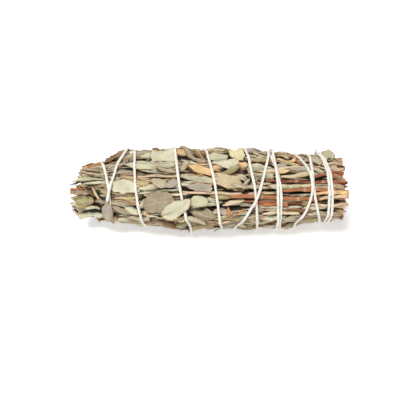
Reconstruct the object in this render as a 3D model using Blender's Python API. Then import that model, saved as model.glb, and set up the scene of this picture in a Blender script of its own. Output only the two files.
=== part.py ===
"""A bunch of dried sage: leafy stems laid along each other and bound with white cotton string.

The bunch lies along X with its cut ends at +X, on the plane z = 0. It is made as it is made by hand:
inner stems first, then outer leafy stems laid on them one by one, then loose leaves, then the string.
Each piece lies on what is under it, so no two pieces cross.

Lengths are in millimetres until a mesh is made. A place on the bunch is (along, turn, reach): the distance
from the tip end, the angle round the bunch in degrees, and the distance from its middle line. Turn 0 is the
side at -Y, 90 is the top and 270 is the underside.
"""

import math

import bmesh
import bpy
import numpy as np
from mathutils.bvhtree import BVHTree

MM = 0.001

# Driving dimensions
LENGTH = 104.0
# Half the bunch's thickness over its leaves, at distances from the tip end
PROFILE = ((0, 7.0), (6, 8.5), (13, 9.9), (26, 13.4), (42, 14.8), (56, 14.7), (72, 14.0), (86, 13.0), (96, 12.7), (106, 13.0))
# What the outer stems are laid on: the inside of the bunch
INSIDE = ((0, 4.4), (6, 5.5), (13, 6.0), (26, 8.2), (42, 9.3), (56, 9.4), (72, 9.5), (86, 9.7), (96, 9.8), (106, 9.8))
# How far a leaf may stand out past the profile before it is left off
STAND_OUT = 0.6
STEM_RADIUS = 1.1
STEM_TIP_RADIUS = 0.55
LEAF_THICK = 0.6
STRING_RADIUS = 0.55
CLEAR = 0.3
SEED = 7

# How the bunch is made up
OUTER_SPRIGS = 20
LAY_STRIDE = 7
INNER_HANDFULS = 6
FIRST_TURN = 4.0
TIP_STARTS = (9, 30, 17, 44)
LEAF_SPACING = 13.2
LEAFY_END = 97.0

# The string's passes round the bunch, from the cut end to the tip and back: where each is, along the bunch, low on
# the side seen, on its middle, at its top and at the back
PASS_TURNS = (-50.0, 40.0, 130.0, 220.0)
PASSES = (
    (94.6, 95.3, 93.0, 92.9),
    (93.2, 93.9, 91.5, 91.0),
    (91.4, 88.9, 88.0, 84.0),
    (78.4, 76.9, 73.4, 71.5),
    (70.3, 68.3, 63.8, 60.5),
    (57.4, 54.6, 50.2, 48.0),
    (46.2, 42.2, 39.0, 34.5),
    (29.2, 26.6, 24.8, 20.5),
    (15.2, 14.6, 12.6, 12.4),
    (13.4, 17.2, 23.4, 64.0),
    (61.9, 70.4, 75.2, 77.0),
    (76.8, 75.3, 77.8, 80.5),
    (83.6, 88.2, 85.5),
)
KNOT_ALONG = 90.6
KNOT_TURN = 220.0
WAIST_DEEP = 0.9
WAIST_WIDE = 3.0

# Where the bunch rests on the table, and the turns of string that it rests on, which are flat there
REST_FROM = 36.0
REST_TO = 80.0
REST_TURNS = (4, 5, 6, 7)
REST_HALF_TURN = 13.0
FLAT_UNDER = 0.7

# The grid on which the bunch's reach is kept while it is laid
ROW_STEP = 0.5
ROWS = np.arange(-4.0, LENGTH + 6.0, ROW_STEP)
COLUMNS = 240


def smooth_step(x):
    x = np.clip(x, 0.0, 1.0)
    return x * x * (3 - 2 * x)


def angle_between(turn, other):
    return (np.asarray(turn) - other + 180.0) % 360.0 - 180.0


def string_knots():
    """(wound angle, along) of each point that the string is led through, from the knot and back to it."""
    points = [(KNOT_TURN - 360.0, KNOT_ALONG + 2.2)]
    for lap, places in enumerate(PASSES):
        for turn, along in zip(PASS_TURNS, places):
            points.append((turn + 360.0 * lap, along))
    points.append((KNOT_TURN + 360.0 * (len(PASSES) - 1), KNOT_ALONG - 2.2))
    return points


def string_along(wound):
    """How far along the bunch the string is at each wound angle, on a smooth curve through its points."""
    points = string_knots()
    angles = np.array([p[0] for p in points])
    places = np.array([p[1] for p in points])
    slopes = np.gradient(places, angles)
    i = np.clip(np.searchsorted(angles, wound) - 1, 0, len(angles) - 2)
    span = angles[i + 1] - angles[i]
    x = (wound - angles[i]) / span
    rise = places[i + 1] - places[i]
    start = np.clip(slopes[i] * span, -abs(rise) * 2.5, abs(rise) * 2.5)
    end = np.clip(slopes[i + 1] * span, -abs(rise) * 2.5, abs(rise) * 2.5)
    cubic = start + end - 2 * rise
    return places[i] + x * start + x * x * (3 * rise - 2 * start - end) + x**3 * cubic


def profile_reach(profile):
    """A profile's reach on the grid, drawn in a little underneath, where the bunch rests."""
    along = np.array([p[0] for p in profile], float)
    reach = np.interp(ROWS, along, [p[1] for p in profile])
    blur = np.exp(-0.5 * (np.arange(-12, 13) * ROW_STEP / 3.0) ** 2)
    padded = np.pad(reach, 12, mode="edge")
    reach = np.convolve(padded, blur / blur.sum(), mode="valid")
    turns = np.arange(COLUMNS) * 360.0 / COLUMNS
    under = np.exp(-0.5 * (angle_between(turns, 270.0) / 24.0) ** 2)
    resting = smooth_step((ROWS - REST_FROM + 14) / 14) * smooth_step((REST_TO + 14 - ROWS) / 14)
    return reach[:, None] - FLAT_UNDER * under[None, :] * resting[:, None]


def string_waists():
    """How much the string draws the bunch in, on the grid."""
    turns = np.arange(COLUMNS) * 360.0 / COLUMNS
    drawn = np.zeros((len(ROWS), COLUMNS))
    for lap in range(len(PASSES)):
        wound = turns + 360.0 * lap
        wound = np.where(wound > 360.0 * (len(PASSES) - 1) + KNOT_TURN, np.nan, wound)
        for start in (wound, wound - 360.0 * len(PASSES)):
            inside = start >= KNOT_TURN - 360.0
            places = string_along(np.where(inside & np.isfinite(start), start, 0.0))
            away = (ROWS[:, None] - places[None, :]) / WAIST_WIDE
            waist = np.exp(-0.5 * away**2)
            waist[:, ~(inside & np.isfinite(start))] = 0.0
            drawn = np.maximum(drawn, waist)
    return drawn * WAIST_DEEP


class Surface:
    """How far out the bunch reaches so far, over its length and round it. What is laid next lies on this."""

    def __init__(self, reach):
        self.reach = reach

    def read(self, along, turn):
        row = np.clip((np.asarray(along) - ROWS[0]) / ROW_STEP, 0, len(ROWS) - 1.001)
        column = (np.asarray(turn) % 360.0) / 360.0 * COLUMNS
        r = np.floor(row).astype(int)
        c = np.floor(column).astype(int) % COLUMNS
        right = (c + 1) % COLUMNS
        down = row - r
        over = column - np.floor(column)
        near = self.reach[r, c] * (1 - over) + self.reach[r, right] * over
        far = self.reach[r + 1, c] * (1 - over) + self.reach[r + 1, right] * over
        return near * (1 - down) + far * down

    def raise_to(self, along, turn, reach):
        rows = np.clip(np.round((np.asarray(along) - ROWS[0]) / ROW_STEP), 0, len(ROWS) - 1).astype(int)
        columns = np.round((np.asarray(turn) % 360.0) / 360.0 * COLUMNS).astype(int) % COLUMNS
        np.maximum.at(self.reach, (rows, columns), np.asarray(reach))


def drape(weights, floor, drop=0.35, sweeps=16, bend=0.8, neighbours=None):
    """Heights of a blade's net points, as low as a stiff blade can lie on the floor under its samples."""
    height = np.full(weights.shape[1], float(floor.max()))
    for _ in range(sweeps):
        for i in range(len(height)):
            w = weights[:, i]
            touched = w > 0.05
            others = weights[touched] @ height - w[touched] * height[i]
            lowest = ((floor[touched] - others) / w[touched]).max()
            if neighbours is not None:
                lowest = max(lowest, height[neighbours[i]].mean() - bend)
            height[i] = min(height[i], max(lowest, height[i] - drop))
    return height


def net_weights(rows, columns, samples_u, samples_v):
    """How much each net point counts at each sample, for a net of rows by columns read by straight lines."""
    weights = np.zeros((len(samples_u) * len(samples_v), len(rows) * len(columns)))
    k = 0
    for u in samples_u:
        i = min(np.searchsorted(rows, u, side="right") - 1, len(rows) - 2)
        x = (u - rows[i]) / (rows[i + 1] - rows[i])
        for v in samples_v:
            j = min(np.searchsorted(columns, v, side="right") - 1, len(columns) - 2)
            y = (v - columns[j]) / (columns[j + 1] - columns[j])
            for di, dj, share in ((0, 0, (1 - x) * (1 - y)), (1, 0, x * (1 - y)), (0, 1, (1 - x) * y), (1, 1, x * y)):
                weights[k, (i + di) * len(columns) + j + dj] = share
            k += 1
    return weights


# A blade's net: five rows from its root to its tip, three points across
BLADE_ROWS = (0.0, 0.2, 0.48, 0.78, 1.0)
BLADE_WIDTHS = (0.14, 0.72, 1.0, 0.76, 0.16)
BLADE_ACROSS = (-1.0, 0.0, 1.0)
LAY_WEIGHTS = net_weights(BLADE_ROWS, BLADE_ACROSS, np.linspace(0, 1, 17), np.linspace(-1, 1, 7))
MARK_WEIGHTS = net_weights(BLADE_ROWS, BLADE_ACROSS, np.linspace(0, 1, 61), np.linspace(-1, 1, 25))


def blade_neighbours():
    columns = len(BLADE_ACROSS)
    found = []
    for i in range(len(BLADE_ROWS)):
        for j in range(columns):
            near = [(i - 1, j), (i + 1, j), (i, j - 1), (i, j + 1)]
            found.append([a * columns + b for a, b in near if 0 <= a < len(BLADE_ROWS) and 0 <= b < columns])
    return found


NEIGHBOURS = blade_neighbours()


class Bunch:
    """The bunch while it is made: its surface, and the skin of each piece laid, to lift the next one clear of."""

    def __init__(self):
        self.outline = profile_reach(PROFILE)
        self.surface = Surface(profile_reach(INSIDE) - string_waists())
        self.skins = []

    def middle_reach(self, along):
        return float(np.interp(along, ROWS, self.outline.mean(axis=1)))

    def crosses(self, skin, box, spare=None):
        low, high = box
        for other, other_low, other_high, owner in self.skins:
            apart = (low > other_high).any() or (high < other_low).any()
            if owner != spare and not apart and skin.overlap(other):
                return True
        return False

    def remember(self, points, faces, owner):
        self.skins.append((BVHTree.FromPolygons(points.tolist(), faces), points.min(0), points.max(0), owner))


def place(along, turn, reach):
    """Points in millimetres from (along, turn, reach), the bunch's middle line along X."""
    angle = np.radians(turn)
    along, reach = np.broadcast_arrays(np.asarray(along, float), np.asarray(reach, float))
    return np.stack([along - LENGTH / 2, -reach * np.cos(angle), reach * np.sin(angle)], axis=-1)


def sheet_faces(rows, columns):
    """Triangles of a sheet of rows by columns."""
    faces = []
    for i in range(rows - 1):
        for j in range(columns - 1):
            a = i * columns + j
            b = a + columns
            faces += [(a, b, b + 1), (a, b + 1, a + 1)]
    return faces


def thick_sheet(under, over):
    """(points, triangles) of the closed blade between two sheets of points, both split alike."""
    rows, columns = under.shape[:2]
    count = rows * columns
    points = np.concatenate([under.reshape(-1, 3), over.reshape(-1, 3)])
    flat = sheet_faces(rows, columns)
    faces = [f[::-1] for f in flat] + [tuple(i + count for i in f) for f in flat]
    edge = [j for j in range(columns)]
    edge += [i * columns + columns - 1 for i in range(1, rows)]
    edge += [(rows - 1) * columns + j for j in range(columns - 2, -1, -1)]
    edge += [i * columns for i in range(rows - 2, 0, -1)]
    for a, b in zip(edge, edge[1:] + edge[:1]):
        faces += [(b, a, a + count), (b, a + count, b + count)]
    return points, faces


def blade_solid(under, thick, spread=0.0):
    """The closed blade over a net of points, its thickness laid on along the net's own slopes."""
    grid = under.reshape(len(BLADE_ROWS), len(BLADE_ACROSS), 3)
    normal = np.cross(np.gradient(grid, axis=1), np.gradient(grid, axis=0))
    normal /= np.linalg.norm(normal, axis=-1, keepdims=True)
    outward = grid * (0, 1, 1)
    if (normal * outward).sum() < 0:
        normal = -normal
    return thick_sheet(grid - normal * spread, grid + normal * (thick + spread))


def blade_net(bunch, root, heading, length, width, bow, trim):
    """The (along, turn, reach) of a blade's net, lying as low as it can with its root at the place given."""
    rows = np.array(BLADE_ROWS)
    half = np.array(BLADE_WIDTHS) * width / 2
    if trim is not None:
        half[0] = trim * width / 2
    angle = math.radians(heading)
    forward = length * rows
    side = bow * length * (rows - rows**2)
    along = np.empty((len(rows), 3))
    arc = np.empty((len(rows), 3))
    for j, v in enumerate(BLADE_ACROSS):
        along[:, j] = root[0] - forward * math.cos(angle) + (side + v * half) * math.sin(angle)
        arc[:, j] = forward * math.sin(angle) + (side + v * half) * math.cos(angle)
    radius = np.array([[bunch.middle_reach(a) for a in row] for row in along])
    turn = root[1] + np.degrees(arc / radius)
    floor = bunch.surface.read(LAY_WEIGHTS @ along.reshape(-1), LAY_WEIGHTS @ turn.reshape(-1))
    return along, turn, drape(LAY_WEIGHTS, floor, neighbours=NEIGHBOURS).reshape(-1, 3) + CLEAR


def lay_blade(
    bunch, owner, root, headings, length, width, bow=0.0, cup=0.0, ridge=0.0, root_reach=None, trim=None, stand_out=STAND_OUT
):
    """Lays one leaf, its root at (along, turn) and its tip towards the bunch's tip, at the heading that lies lowest.

    root_reach sinks the root to that reach, into its stem. Returns the leaf's points and faces, or None where it
    would cross another or stand out too far.
    """
    nets = [blade_net(bunch, root, heading, length, width, bow, trim) for heading in headings]
    along, turn, reach = min(nets, key=lambda net: net[2][1:].mean())
    rows = np.array(BLADE_ROWS)
    reach[1:, 0] += cup * np.sin(np.pi * rows[1:])
    reach[1:, 2] += cup * np.sin(np.pi * rows[1:])
    reach[1:, 1] += ridge
    limit = np.interp(along, ROWS, bunch.outline.mean(axis=1)) + stand_out
    for lift in range(8):
        lifted = reach + 0.15 * lift
        if (lifted > limit).sum() > 2:
            return None
        if root_reach is not None:
            lifted[0] = root_reach - LEAF_THICK / 2
        under = place(along, turn, lifted)
        test_points, test_faces = blade_solid(under, LEAF_THICK, spread=CLEAR * 0.45)
        skin = BVHTree.FromPolygons(test_points.tolist(), test_faces)
        if not bunch.crosses(skin, (test_points.min(0), test_points.max(0)), spare=owner if root_reach else None):
            points, faces = blade_solid(under, LEAF_THICK)
            bunch.remember(points, faces, owner)
            marks = (MARK_WEIGHTS @ along.reshape(-1), MARK_WEIGHTS @ turn.reshape(-1), MARK_WEIGHTS @ lifted.reshape(-1))
            bunch.surface.raise_to(marks[0], marks[1], marks[2] + LEAF_THICK + 0.05)
            return points, faces
    return None


def tube_solid(centres, outs, radii, sides, flat_out=False):
    """(points, triangles) of a capped tube along centres; outs are directions that its sides are set out from."""
    count = len(centres)
    ways = np.gradient(centres, axis=0)
    ways /= np.linalg.norm(ways, axis=1, keepdims=True)
    outs = outs - ways * (outs * ways).sum(axis=1, keepdims=True)
    outs /= np.linalg.norm(outs, axis=1, keepdims=True)
    sideways = np.cross(ways, outs)
    offset = 0.5 if flat_out else 0.0
    angles = 2 * np.pi * (np.arange(sides) + offset) / sides
    ring = np.cos(angles)[None, :, None] * outs[:, None, :] + np.sin(angles)[None, :, None] * sideways[:, None, :]
    points = centres[:, None, :] + ring * np.asarray(radii)[:, None, None]
    points = np.concatenate([points.reshape(-1, 3), centres[:1], centres[-1:]])
    faces = []
    for i in range(count - 1):
        for j in range(sides):
            k = (j + 1) % sides
            a, b, c, d = i * sides + j, i * sides + k, (i + 1) * sides + k, (i + 1) * sides + j
            faces += [(a, b, c), (a, c, d)]
    start, end = count * sides, count * sides + 1
    last = (count - 1) * sides
    for j in range(sides):
        k = (j + 1) % sides
        faces += [(start, k, j), (end, last + j, last + k)]
    return points, faces


def lay_stem(bunch, owner, turn, start, end, radius, sway):
    """Lays one stem along the bunch. Returns its solid and a function that gives its (turn, reach) at a place."""
    stations = np.linspace(start, end, 9)
    turns = turn + sway * np.sin(np.pi * 2.2 * (stations / LENGTH) + sway)
    radii = np.interp(stations, (start, start + 30, end), (STEM_TIP_RADIUS, radius * 0.85, radius))
    samples = np.linspace(0, 1, 65)
    rows = (stations - start) / (end - start)
    weights = net_weights(tuple(rows), (0.0, 1.0), samples, (0.0,))[:, ::2]
    along = weights @ stations
    middle = weights @ turns
    thick = weights @ radii
    floor = np.full(len(samples), -1e9)
    for across in np.linspace(-1.2, 1.2, 9):
        shift = np.degrees(across * thick / np.array([bunch.middle_reach(a) for a in along]))
        rise = np.sqrt(np.clip(1 - across**2, 0, 1)) * thick
        floor = np.maximum(floor, bunch.surface.read(along, middle + shift) + rise)
    reach = drape(weights, floor, sweeps=24) + CLEAR
    outs = place(np.zeros(len(stations)), turns, np.ones(len(stations)))
    outs[:, 0] = 0
    for lift in range(12):
        lifted = reach + 0.12 * lift
        centres = place(stations, turns, lifted)
        test_points, test_faces = tube_solid(centres, outs, radii + CLEAR * 0.6, 6)
        skin = BVHTree.FromPolygons(test_points.tolist(), test_faces)
        if not bunch.crosses(skin, (test_points.min(0), test_points.max(0))):
            break
    points, faces = tube_solid(centres, outs, radii, 5)
    bunch.remember(points, faces, owner)
    for across in np.linspace(-1.0, 1.0, 9):
        shift = np.degrees(across * thick / (weights @ lifted))
        bunch.surface.raise_to(along, middle + shift, weights @ lifted + np.sqrt(1 - across**2) * thick)

    def at(place_along):
        return (
            float(np.interp(place_along, stations, turns)),
            float(np.interp(place_along, stations, lifted)),
        )

    return (points, faces), at


class Sprig:
    """One outer leafy stem while it is laid: its solids, the stem first, and where its leaves grow."""

    def __init__(self, bunch, number, random):
        self.name = f"sprig_{number + 1:02d}"
        turn = FIRST_TURN + 360.0 * number / OUTER_SPRIGS + random.uniform(-2.0, 2.0)
        self.start = TIP_STARTS[number % len(TIP_STARTS)] + random.uniform(-2.0, 2.0)
        end = random.uniform(100.5, 105.5)
        radius = STEM_RADIUS * random.uniform(0.85, 1.1)
        stem, self.at = lay_stem(bunch, self.name, turn, self.start, end, radius, random.uniform(1.0, 2.5))
        self.solids = [stem]
        self.roots = []
        root = self.start + 1.5
        side = 1 if number % 2 else -1
        while root < LEAFY_END:
            self.roots.append((root, side))
            root += LEAF_SPACING * random.uniform(0.75, 1.2)
            side = -side

    def lay_leaf(self, bunch, root, side, random):
        turn, reach = self.at(root)
        broad = 1 - smooth_step((root - 52) / 26)
        blade = lay_blade(
            bunch,
            self.name,
            (root, turn),
            side * random.uniform(4.0, 9.0) * np.array((1.0, 1.8, 2.6)),
            min(random.uniform(15.5, 21.0), root - 0.6),
            random.uniform(5.4, 7.8) * broad + random.uniform(3.0, 4.6) * (1 - broad),
            bow=-side * random.uniform(0.0, 0.16),
            cup=random.uniform(0.0, 0.4),
            ridge=random.uniform(0.0, 0.3),
            root_reach=reach,
        )
        if blade is not None:
            self.solids.append(blade)


# Loose leaves: along, turn, heading, length, width, cup and ridge
LOOSE_LEAVES = (
    (40.5, 18.0, -8.0, 12.5, 8.2, 0.1, 0.1),
    (54.0, 73.0, 6.0, 10.5, 4.2, 0.7, 0.0),
    (66.0, 94.0, 22.0, 9.0, 5.2, 0.3, 0.2),
    (66.5, 48.0, -8.0, 13.0, 6.2, 0.1, 0.3),
    (54.0, 58.0, -2.0, 12.5, 3.8, 0.0, 0.4),
    (52.5, 18.0, 2.0, 8.5, 4.8, 0.2, 0.2),
    (40.0, 88.0, 3.0, 12.5, 5.0, 0.0, 0.3),
    (53.5, 42.0, 1.0, 9.5, 3.4, 0.0, 0.3),
    (10.6, 8.0, 2.0, 9.0, 4.2, 0.1, 0.2),
    (101.0, 106.0, 9.0, 9.5, 4.4, 0.4, 0.0),
    (27.0, 200.0, 10.0, 14.0, 6.5, 0.2, 0.2),
    (60.0, 172.0, -8.0, 15.0, 6.8, 0.2, 0.3),
)
# The leaf whose tip lies over the string
LAST_LEAF = (34.0, -2.0, 149.0, 12.7, 5.2, 0.2, 0.2)


def lay_loose_leaf(bunch, name, laid_as, finish):
    along, turn, heading, length, width, cup, ridge = laid_as
    headings = (heading, heading - 4, heading + 4)
    blade = lay_blade(
        bunch, name, (along, turn), headings, length, width, cup=cup, ridge=ridge, trim=0.3, stand_out=3.0
    )
    print(name, "laid" if blade else "left out")
    if blade:
        mesh_object(name, *blade, finish)


def straight_stem(start, end, turn, start_reach, end_reach, radius):
    """A short straight stem inside the bunch."""
    centres = place(np.array((start, end)), np.full(2, turn), np.array((start_reach, end_reach)))
    outs = place(np.zeros(2), np.full(2, turn + 35.0), np.ones(2))
    outs[:, 0] = 0
    return tube_solid(centres, outs, np.full(2, radius), 6)


def lay_inner_handful(bunch, number, random):
    """The stems and folded leaves of one sixth of the inside: a ribbed body, its cut stems and its tip leaf."""
    span = 360.0 / INNER_HANDFULS
    stations = np.array((4.0, 14.0, 30.0, 50.0, 70.0, 88.0))
    lean = 9.0 * np.sin(stations / 22.0)
    rings = []
    for along, low in zip(stations, lean + span * number):
        turns = low + np.array((0.08, 0.32, 0.68, 0.92)) * span
        rim = place(along, turns, bunch.surface.read(along, turns) - CLEAR - 0.25)
        edge = place(along, turns[[3, 0]], np.array([2.7, 2.7]))
        heart = place(along, np.array([low + span / 2]), np.array([1.2]))
        rings.append(np.concatenate([rim, edge[:1], heart, edge[1:]]))
    middles = [rings[0].mean(axis=0), rings[-1].mean(axis=0)]
    sides = len(rings[0])
    last = (len(rings) - 1) * sides
    points = np.concatenate(rings + [middles])
    faces = []
    for j in range(sides):
        k = (j + 1) % sides
        for i in range(0, last, sides):
            faces += [(i + j, i + sides + k, i + k), (i + j, i + sides + j, i + sides + k)]
        faces += [(last + sides, j, k), (last + sides + 1, last + k, last + j)]
    solids = [(points, faces)]
    middle = span * (number + 0.5) + 9.0 * math.sin(88.0 / 22.0)
    for lean_out, reach in ((0, 2.7), (-15, 5.4), (15, 5.3), (-20, 8.4), (0, 8.2), (20, 8.5)):
        turn = middle + lean_out + random.uniform(-1.5, 1.5)
        end = random.uniform(99.5, 104.5)
        reach += random.uniform(-0.15, 0.1)
        solids.append(straight_stem(80.0, end, turn, reach - 0.3, reach, random.uniform(0.95, 1.08)))
    middle = span * (number + 0.5) + 9.0 * math.sin(4.0 / 22.0)
    solids.append(straight_stem(random.uniform(0.4, 3.2), 12.0, middle - 12.0, 2.2, 2.7, 0.75))
    rows = np.array(BLADE_ROWS)
    along = np.repeat((12.0 - (12.0 - random.uniform(0.2, 1.6)) * rows)[:, None], 3, axis=1)
    reach = np.repeat((3.6 - 0.4 * rows)[:, None], 3, axis=1)
    turn = middle + 4 + 19.0 * np.array(BLADE_ACROSS)[None, :] * np.array(BLADE_WIDTHS)[:, None]
    solids.append(blade_solid(place(along, turn, reach), LEAF_THICK))
    return f"inner_stems_{number + 1}", solids


def string_path(bunch):
    """The string's centre points, laid on the bunch and over its own earlier turns, and the way out at each."""
    step = 20.0
    first, last = string_knots()[0][0], string_knots()[-1][0]
    count = int(round((last - first) / step)) + 1
    wound = np.linspace(first, last, count)
    along = string_along(wound)
    reach = np.zeros(count)
    fine = 8
    lag = 5
    across = np.linspace(-1.25, 1.25, 7) * STRING_RADIUS
    for i in range(count):
        lo, hi = wound[max(i - 1, 0)], wound[min(i + 1, count - 1)]
        spread = np.linspace(lo, hi, 2 * fine + 1)
        near = string_along(spread)
        peak = -1e9
        for shift in across:
            rise = math.sqrt(max(0.0, 1 - (shift / (1.3 * STRING_RADIUS)) ** 2)) * STRING_RADIUS
            away = np.cos(np.radians(spread - wound[i]))
            peak = max(peak, ((bunch.surface.read(near + shift, spread) + rise) * away).max())
        reach[i] = (peak + CLEAR) / math.cos(math.radians(step / 2)) ** 0.8
        if i >= lag:
            j = i - lag
            mark_string(bunch, wound[j], wound[j + 1], reach[j], reach[j + 1])
    for _ in range(2):
        even = reach.copy()
        even[1:-1] = (reach[:-2] + 2 * reach[1:-1] + reach[2:]) / 4
        reach = np.maximum(reach, even)
    return wound, along, reach


def mark_string(bunch, start, end, start_reach, end_reach):
    wound = np.linspace(start, end, 25)
    reach = np.linspace(start_reach, end_reach, 25)
    for shift in np.linspace(-1, 1, 5) * STRING_RADIUS:
        top = reach + math.sqrt(max(0.0, STRING_RADIUS**2 - shift**2))
        bunch.surface.raise_to(string_along(wound) + shift, wound, top)


def resting(wound):
    """Which of the string's points are on the turns that the bunch rests on."""
    flat = np.zeros(len(wound), bool)
    for lap in REST_TURNS:
        flat |= abs(wound - (360.0 * lap - 90.0)) < REST_HALF_TURN
    return flat


def rest_flat(wound, reach):
    """The same reaches with the turns that the bunch rests on run flat along the table."""
    under = np.cos(np.radians(angle_between(wound % 360.0, 270.0)))
    return np.where(resting(wound), (reach * under).max() / under, reach)


def string_solid(bunch):
    """The string as one closed tube, lifted wherever it would touch a leaf or another turn of itself."""
    wound, along, reach = string_path(bunch)
    sides = 6
    outs = place(np.zeros(len(wound)), wound, np.ones(len(wound)))
    outs[:, 0] = 0
    outs[resting(wound)] = (0, 0, -1)
    for _ in range(25):
        reach = rest_flat(wound, reach)
        centres = place(along, wound, reach)
        points, faces = tube_solid(centres, outs, np.full(len(wound), STRING_RADIUS * 1.16 + CLEAR * 0.4), sides, True)
        skin = BVHTree.FromPolygons(points.tolist(), faces)
        low = set()
        for other, _, _, owner in bunch.skins:
            low |= {a // (2 * sides) for a, _ in skin.overlap(other)}
        low |= own_crossings(centres)
        low = {i for i in low if i < len(wound) - 1}
        if not low:
            break
        lifted = sorted(low | {i + 1 for i in low})
        reach[lifted] += 0.12
    points, faces = tube_solid(centres, outs, np.full(len(wound), STRING_RADIUS), sides, True)
    return points, faces, len(low)


def own_crossings(centres):
    """The later of each two stretches of string that lie nearer than the string is thick."""
    found = set()
    middles = (centres[1:] + centres[:-1]) / 2
    for i in range(8, len(middles)):
        close = np.where(np.linalg.norm(middles[: i - 6] - middles[i], axis=1) < 6.5)[0]
        for j in close:
            if stretch_gap(centres[i], centres[i + 1], centres[j], centres[j + 1]) < 2 * STRING_RADIUS + 0.16:
                found.add(i)
    return found


def stretch_gap(a, b, c, d):
    """The least distance between two straight stretches, read at points along both."""
    x = np.linspace(0, 1, 9)[:, None]
    first = a + (b - a) * x
    second = c + (d - c) * x
    return float(np.linalg.norm(first[:, None, :] - second[None, :, :], axis=2).min())


def material(name, colour, roughness):
    made = bpy.data.materials.new(name)
    made.use_nodes = True
    shader = made.node_tree.nodes["Principled BSDF"]
    shader.inputs["Base Color"].default_value = (*colour, 1.0)
    shader.inputs["Roughness"].default_value = roughness
    shader.inputs["Metallic"].default_value = 0.0
    return made


def mesh_object(name, points, faces, finish):
    corners = points[np.array(faces)]
    volume = (corners[:, 0] * np.cross(corners[:, 1], corners[:, 2])).sum()
    if volume < 0:
        faces = [f[::-1] for f in faces]
    mesh = bpy.data.meshes.new(name)
    mesh.from_pydata((points * MM).tolist(), [], faces)
    mesh.materials.append(finish)
    made = bpy.data.objects.new(name, mesh)
    bpy.context.scene.collection.objects.link(made)
    return made


def joined(name, solids, finish):
    """One object from solids that grow out of the first one, by a single Boolean union."""
    made = mesh_object(name, *solids[0], finish)
    group = bpy.data.collections.new(name + "_parts")
    bpy.context.scene.collection.children.link(group)
    for number, (points, faces) in enumerate(solids[1:]):
        part = mesh_object(f"{name}_part_{number}", points, faces, finish)
        bpy.context.scene.collection.objects.unlink(part)
        group.objects.link(part)
    union = made.modifiers.new("Union", "BOOLEAN")
    union.operation = "UNION"
    union.operand_type = "COLLECTION"
    union.collection = group
    union.solver = "MANIFOLD"
    graph = bpy.context.evaluated_depsgraph_get()
    mesh = bpy.data.meshes.new_from_object(made.evaluated_get(graph))
    made.modifiers.clear()
    made.data = mesh
    for part in list(group.objects):
        bpy.data.objects.remove(part)
    bpy.data.collections.remove(group)
    return made


def largest_body(made):
    """Leaves only the object's largest connected body, so that no loose scrap stays."""
    shape = bmesh.new()
    shape.from_mesh(made.data)
    unseen = set(shape.verts)
    bodies = []
    while unseen:
        queue = [unseen.pop()]
        body = set(queue)
        while queue:
            for edge in queue.pop().link_edges:
                for vertex in edge.verts:
                    if vertex in unseen:
                        unseen.discard(vertex)
                        body.add(vertex)
                        queue.append(vertex)
        bodies.append(body)
    bodies.sort(key=len)
    scraps = [v for body in bodies[:-1] for v in body]
    bmesh.ops.delete(shape, geom=scraps, context="VERTS")
    shape.to_mesh(made.data)
    shape.free()
    return len(bodies) - 1


def stand_on_table():
    """Sets the bunch down: its lowest string turns on z = 0, the middle of its box over the origin."""
    corners = []
    for made in bpy.context.scene.objects:
        points = np.empty(len(made.data.vertices) * 3, np.float32)
        made.data.vertices.foreach_get("co", points)
        points = points.reshape(-1, 3)
        corners += [points.min(0), points.max(0)]
    low, high = np.min(corners, axis=0), np.max(corners, axis=0)
    shift = np.array([-(low[0] + high[0]) / 2, -(low[1] + high[1]) / 2, -low[2]])
    for made in bpy.context.scene.objects:
        points = np.empty(len(made.data.vertices) * 3, np.float32)
        made.data.vertices.foreach_get("co", points)
        moved = points.reshape(-1, 3).astype(float) + shift
        made.data.vertices.foreach_set("co", moved.astype(np.float32).ravel())
        made.data.update()
    print("moved by", (shift / MM).round(3), "mm")


def main():
    for old in list(bpy.data.objects):
        bpy.data.objects.remove(old)
    random = np.random.default_rng(SEED)
    leaf_finish = material("sage_leaf", (0.42, 0.40, 0.29), 0.9)
    inner_finish = material("inner_leaf", (0.30, 0.27, 0.18), 0.92)
    loose_finish = material("loose_leaf", (0.47, 0.44, 0.32), 0.9)
    string_finish = material("cotton_string", (0.86, 0.84, 0.79), 0.95)
    bunch = Bunch()
    for number in range(INNER_HANDFULS):
        name, solids = lay_inner_handful(bunch, number, random)
        print(name, largest_body(joined(name, solids, inner_finish)))
        for points, faces in solids:
            bunch.remember(points, faces, name)
    sprigs = [Sprig(bunch, order * LAY_STRIDE % OUTER_SPRIGS, random) for order in range(OUTER_SPRIGS)]
    print("over the stems", bunch.surface.reach.mean(axis=1)[10::20].round(1))
    leaves = [(root, side, sprig) for sprig in sprigs for root, side in sprig.roots]
    for root, side, sprig in sorted(leaves, key=lambda leaf: leaf[0]):
        sprig.lay_leaf(bunch, root, side, random)
    print("over the leaves", bunch.surface.reach.mean(axis=1)[10::20].round(1))
    print("at most", bunch.surface.reach.max(axis=1)[10::20].round(1))
    for sprig in sprigs:
        made = joined(sprig.name, sprig.solids, leaf_finish)
        count = len(sprig.solids) - 1
        print(sprig.name, count, "of", len(sprig.roots), "leaves", len(made.data.polygons), "faces", largest_body(made))
    for number, laid_as in enumerate(LOOSE_LEAVES):
        lay_loose_leaf(bunch, f"loose_leaf_{number + 1:02d}", laid_as, loose_finish)
    points, faces, touching = string_solid(bunch)
    print("string", len(faces), "faces,", touching, "stretches still touch")
    mesh_object("cotton_string", points, faces, string_finish)
    bunch.remember(points, faces, "cotton_string")
    lay_loose_leaf(bunch, f"loose_leaf_{len(LOOSE_LEAVES) + 1:02d}", LAST_LEAF, loose_finish)
    stand_on_table()


main()
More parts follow.
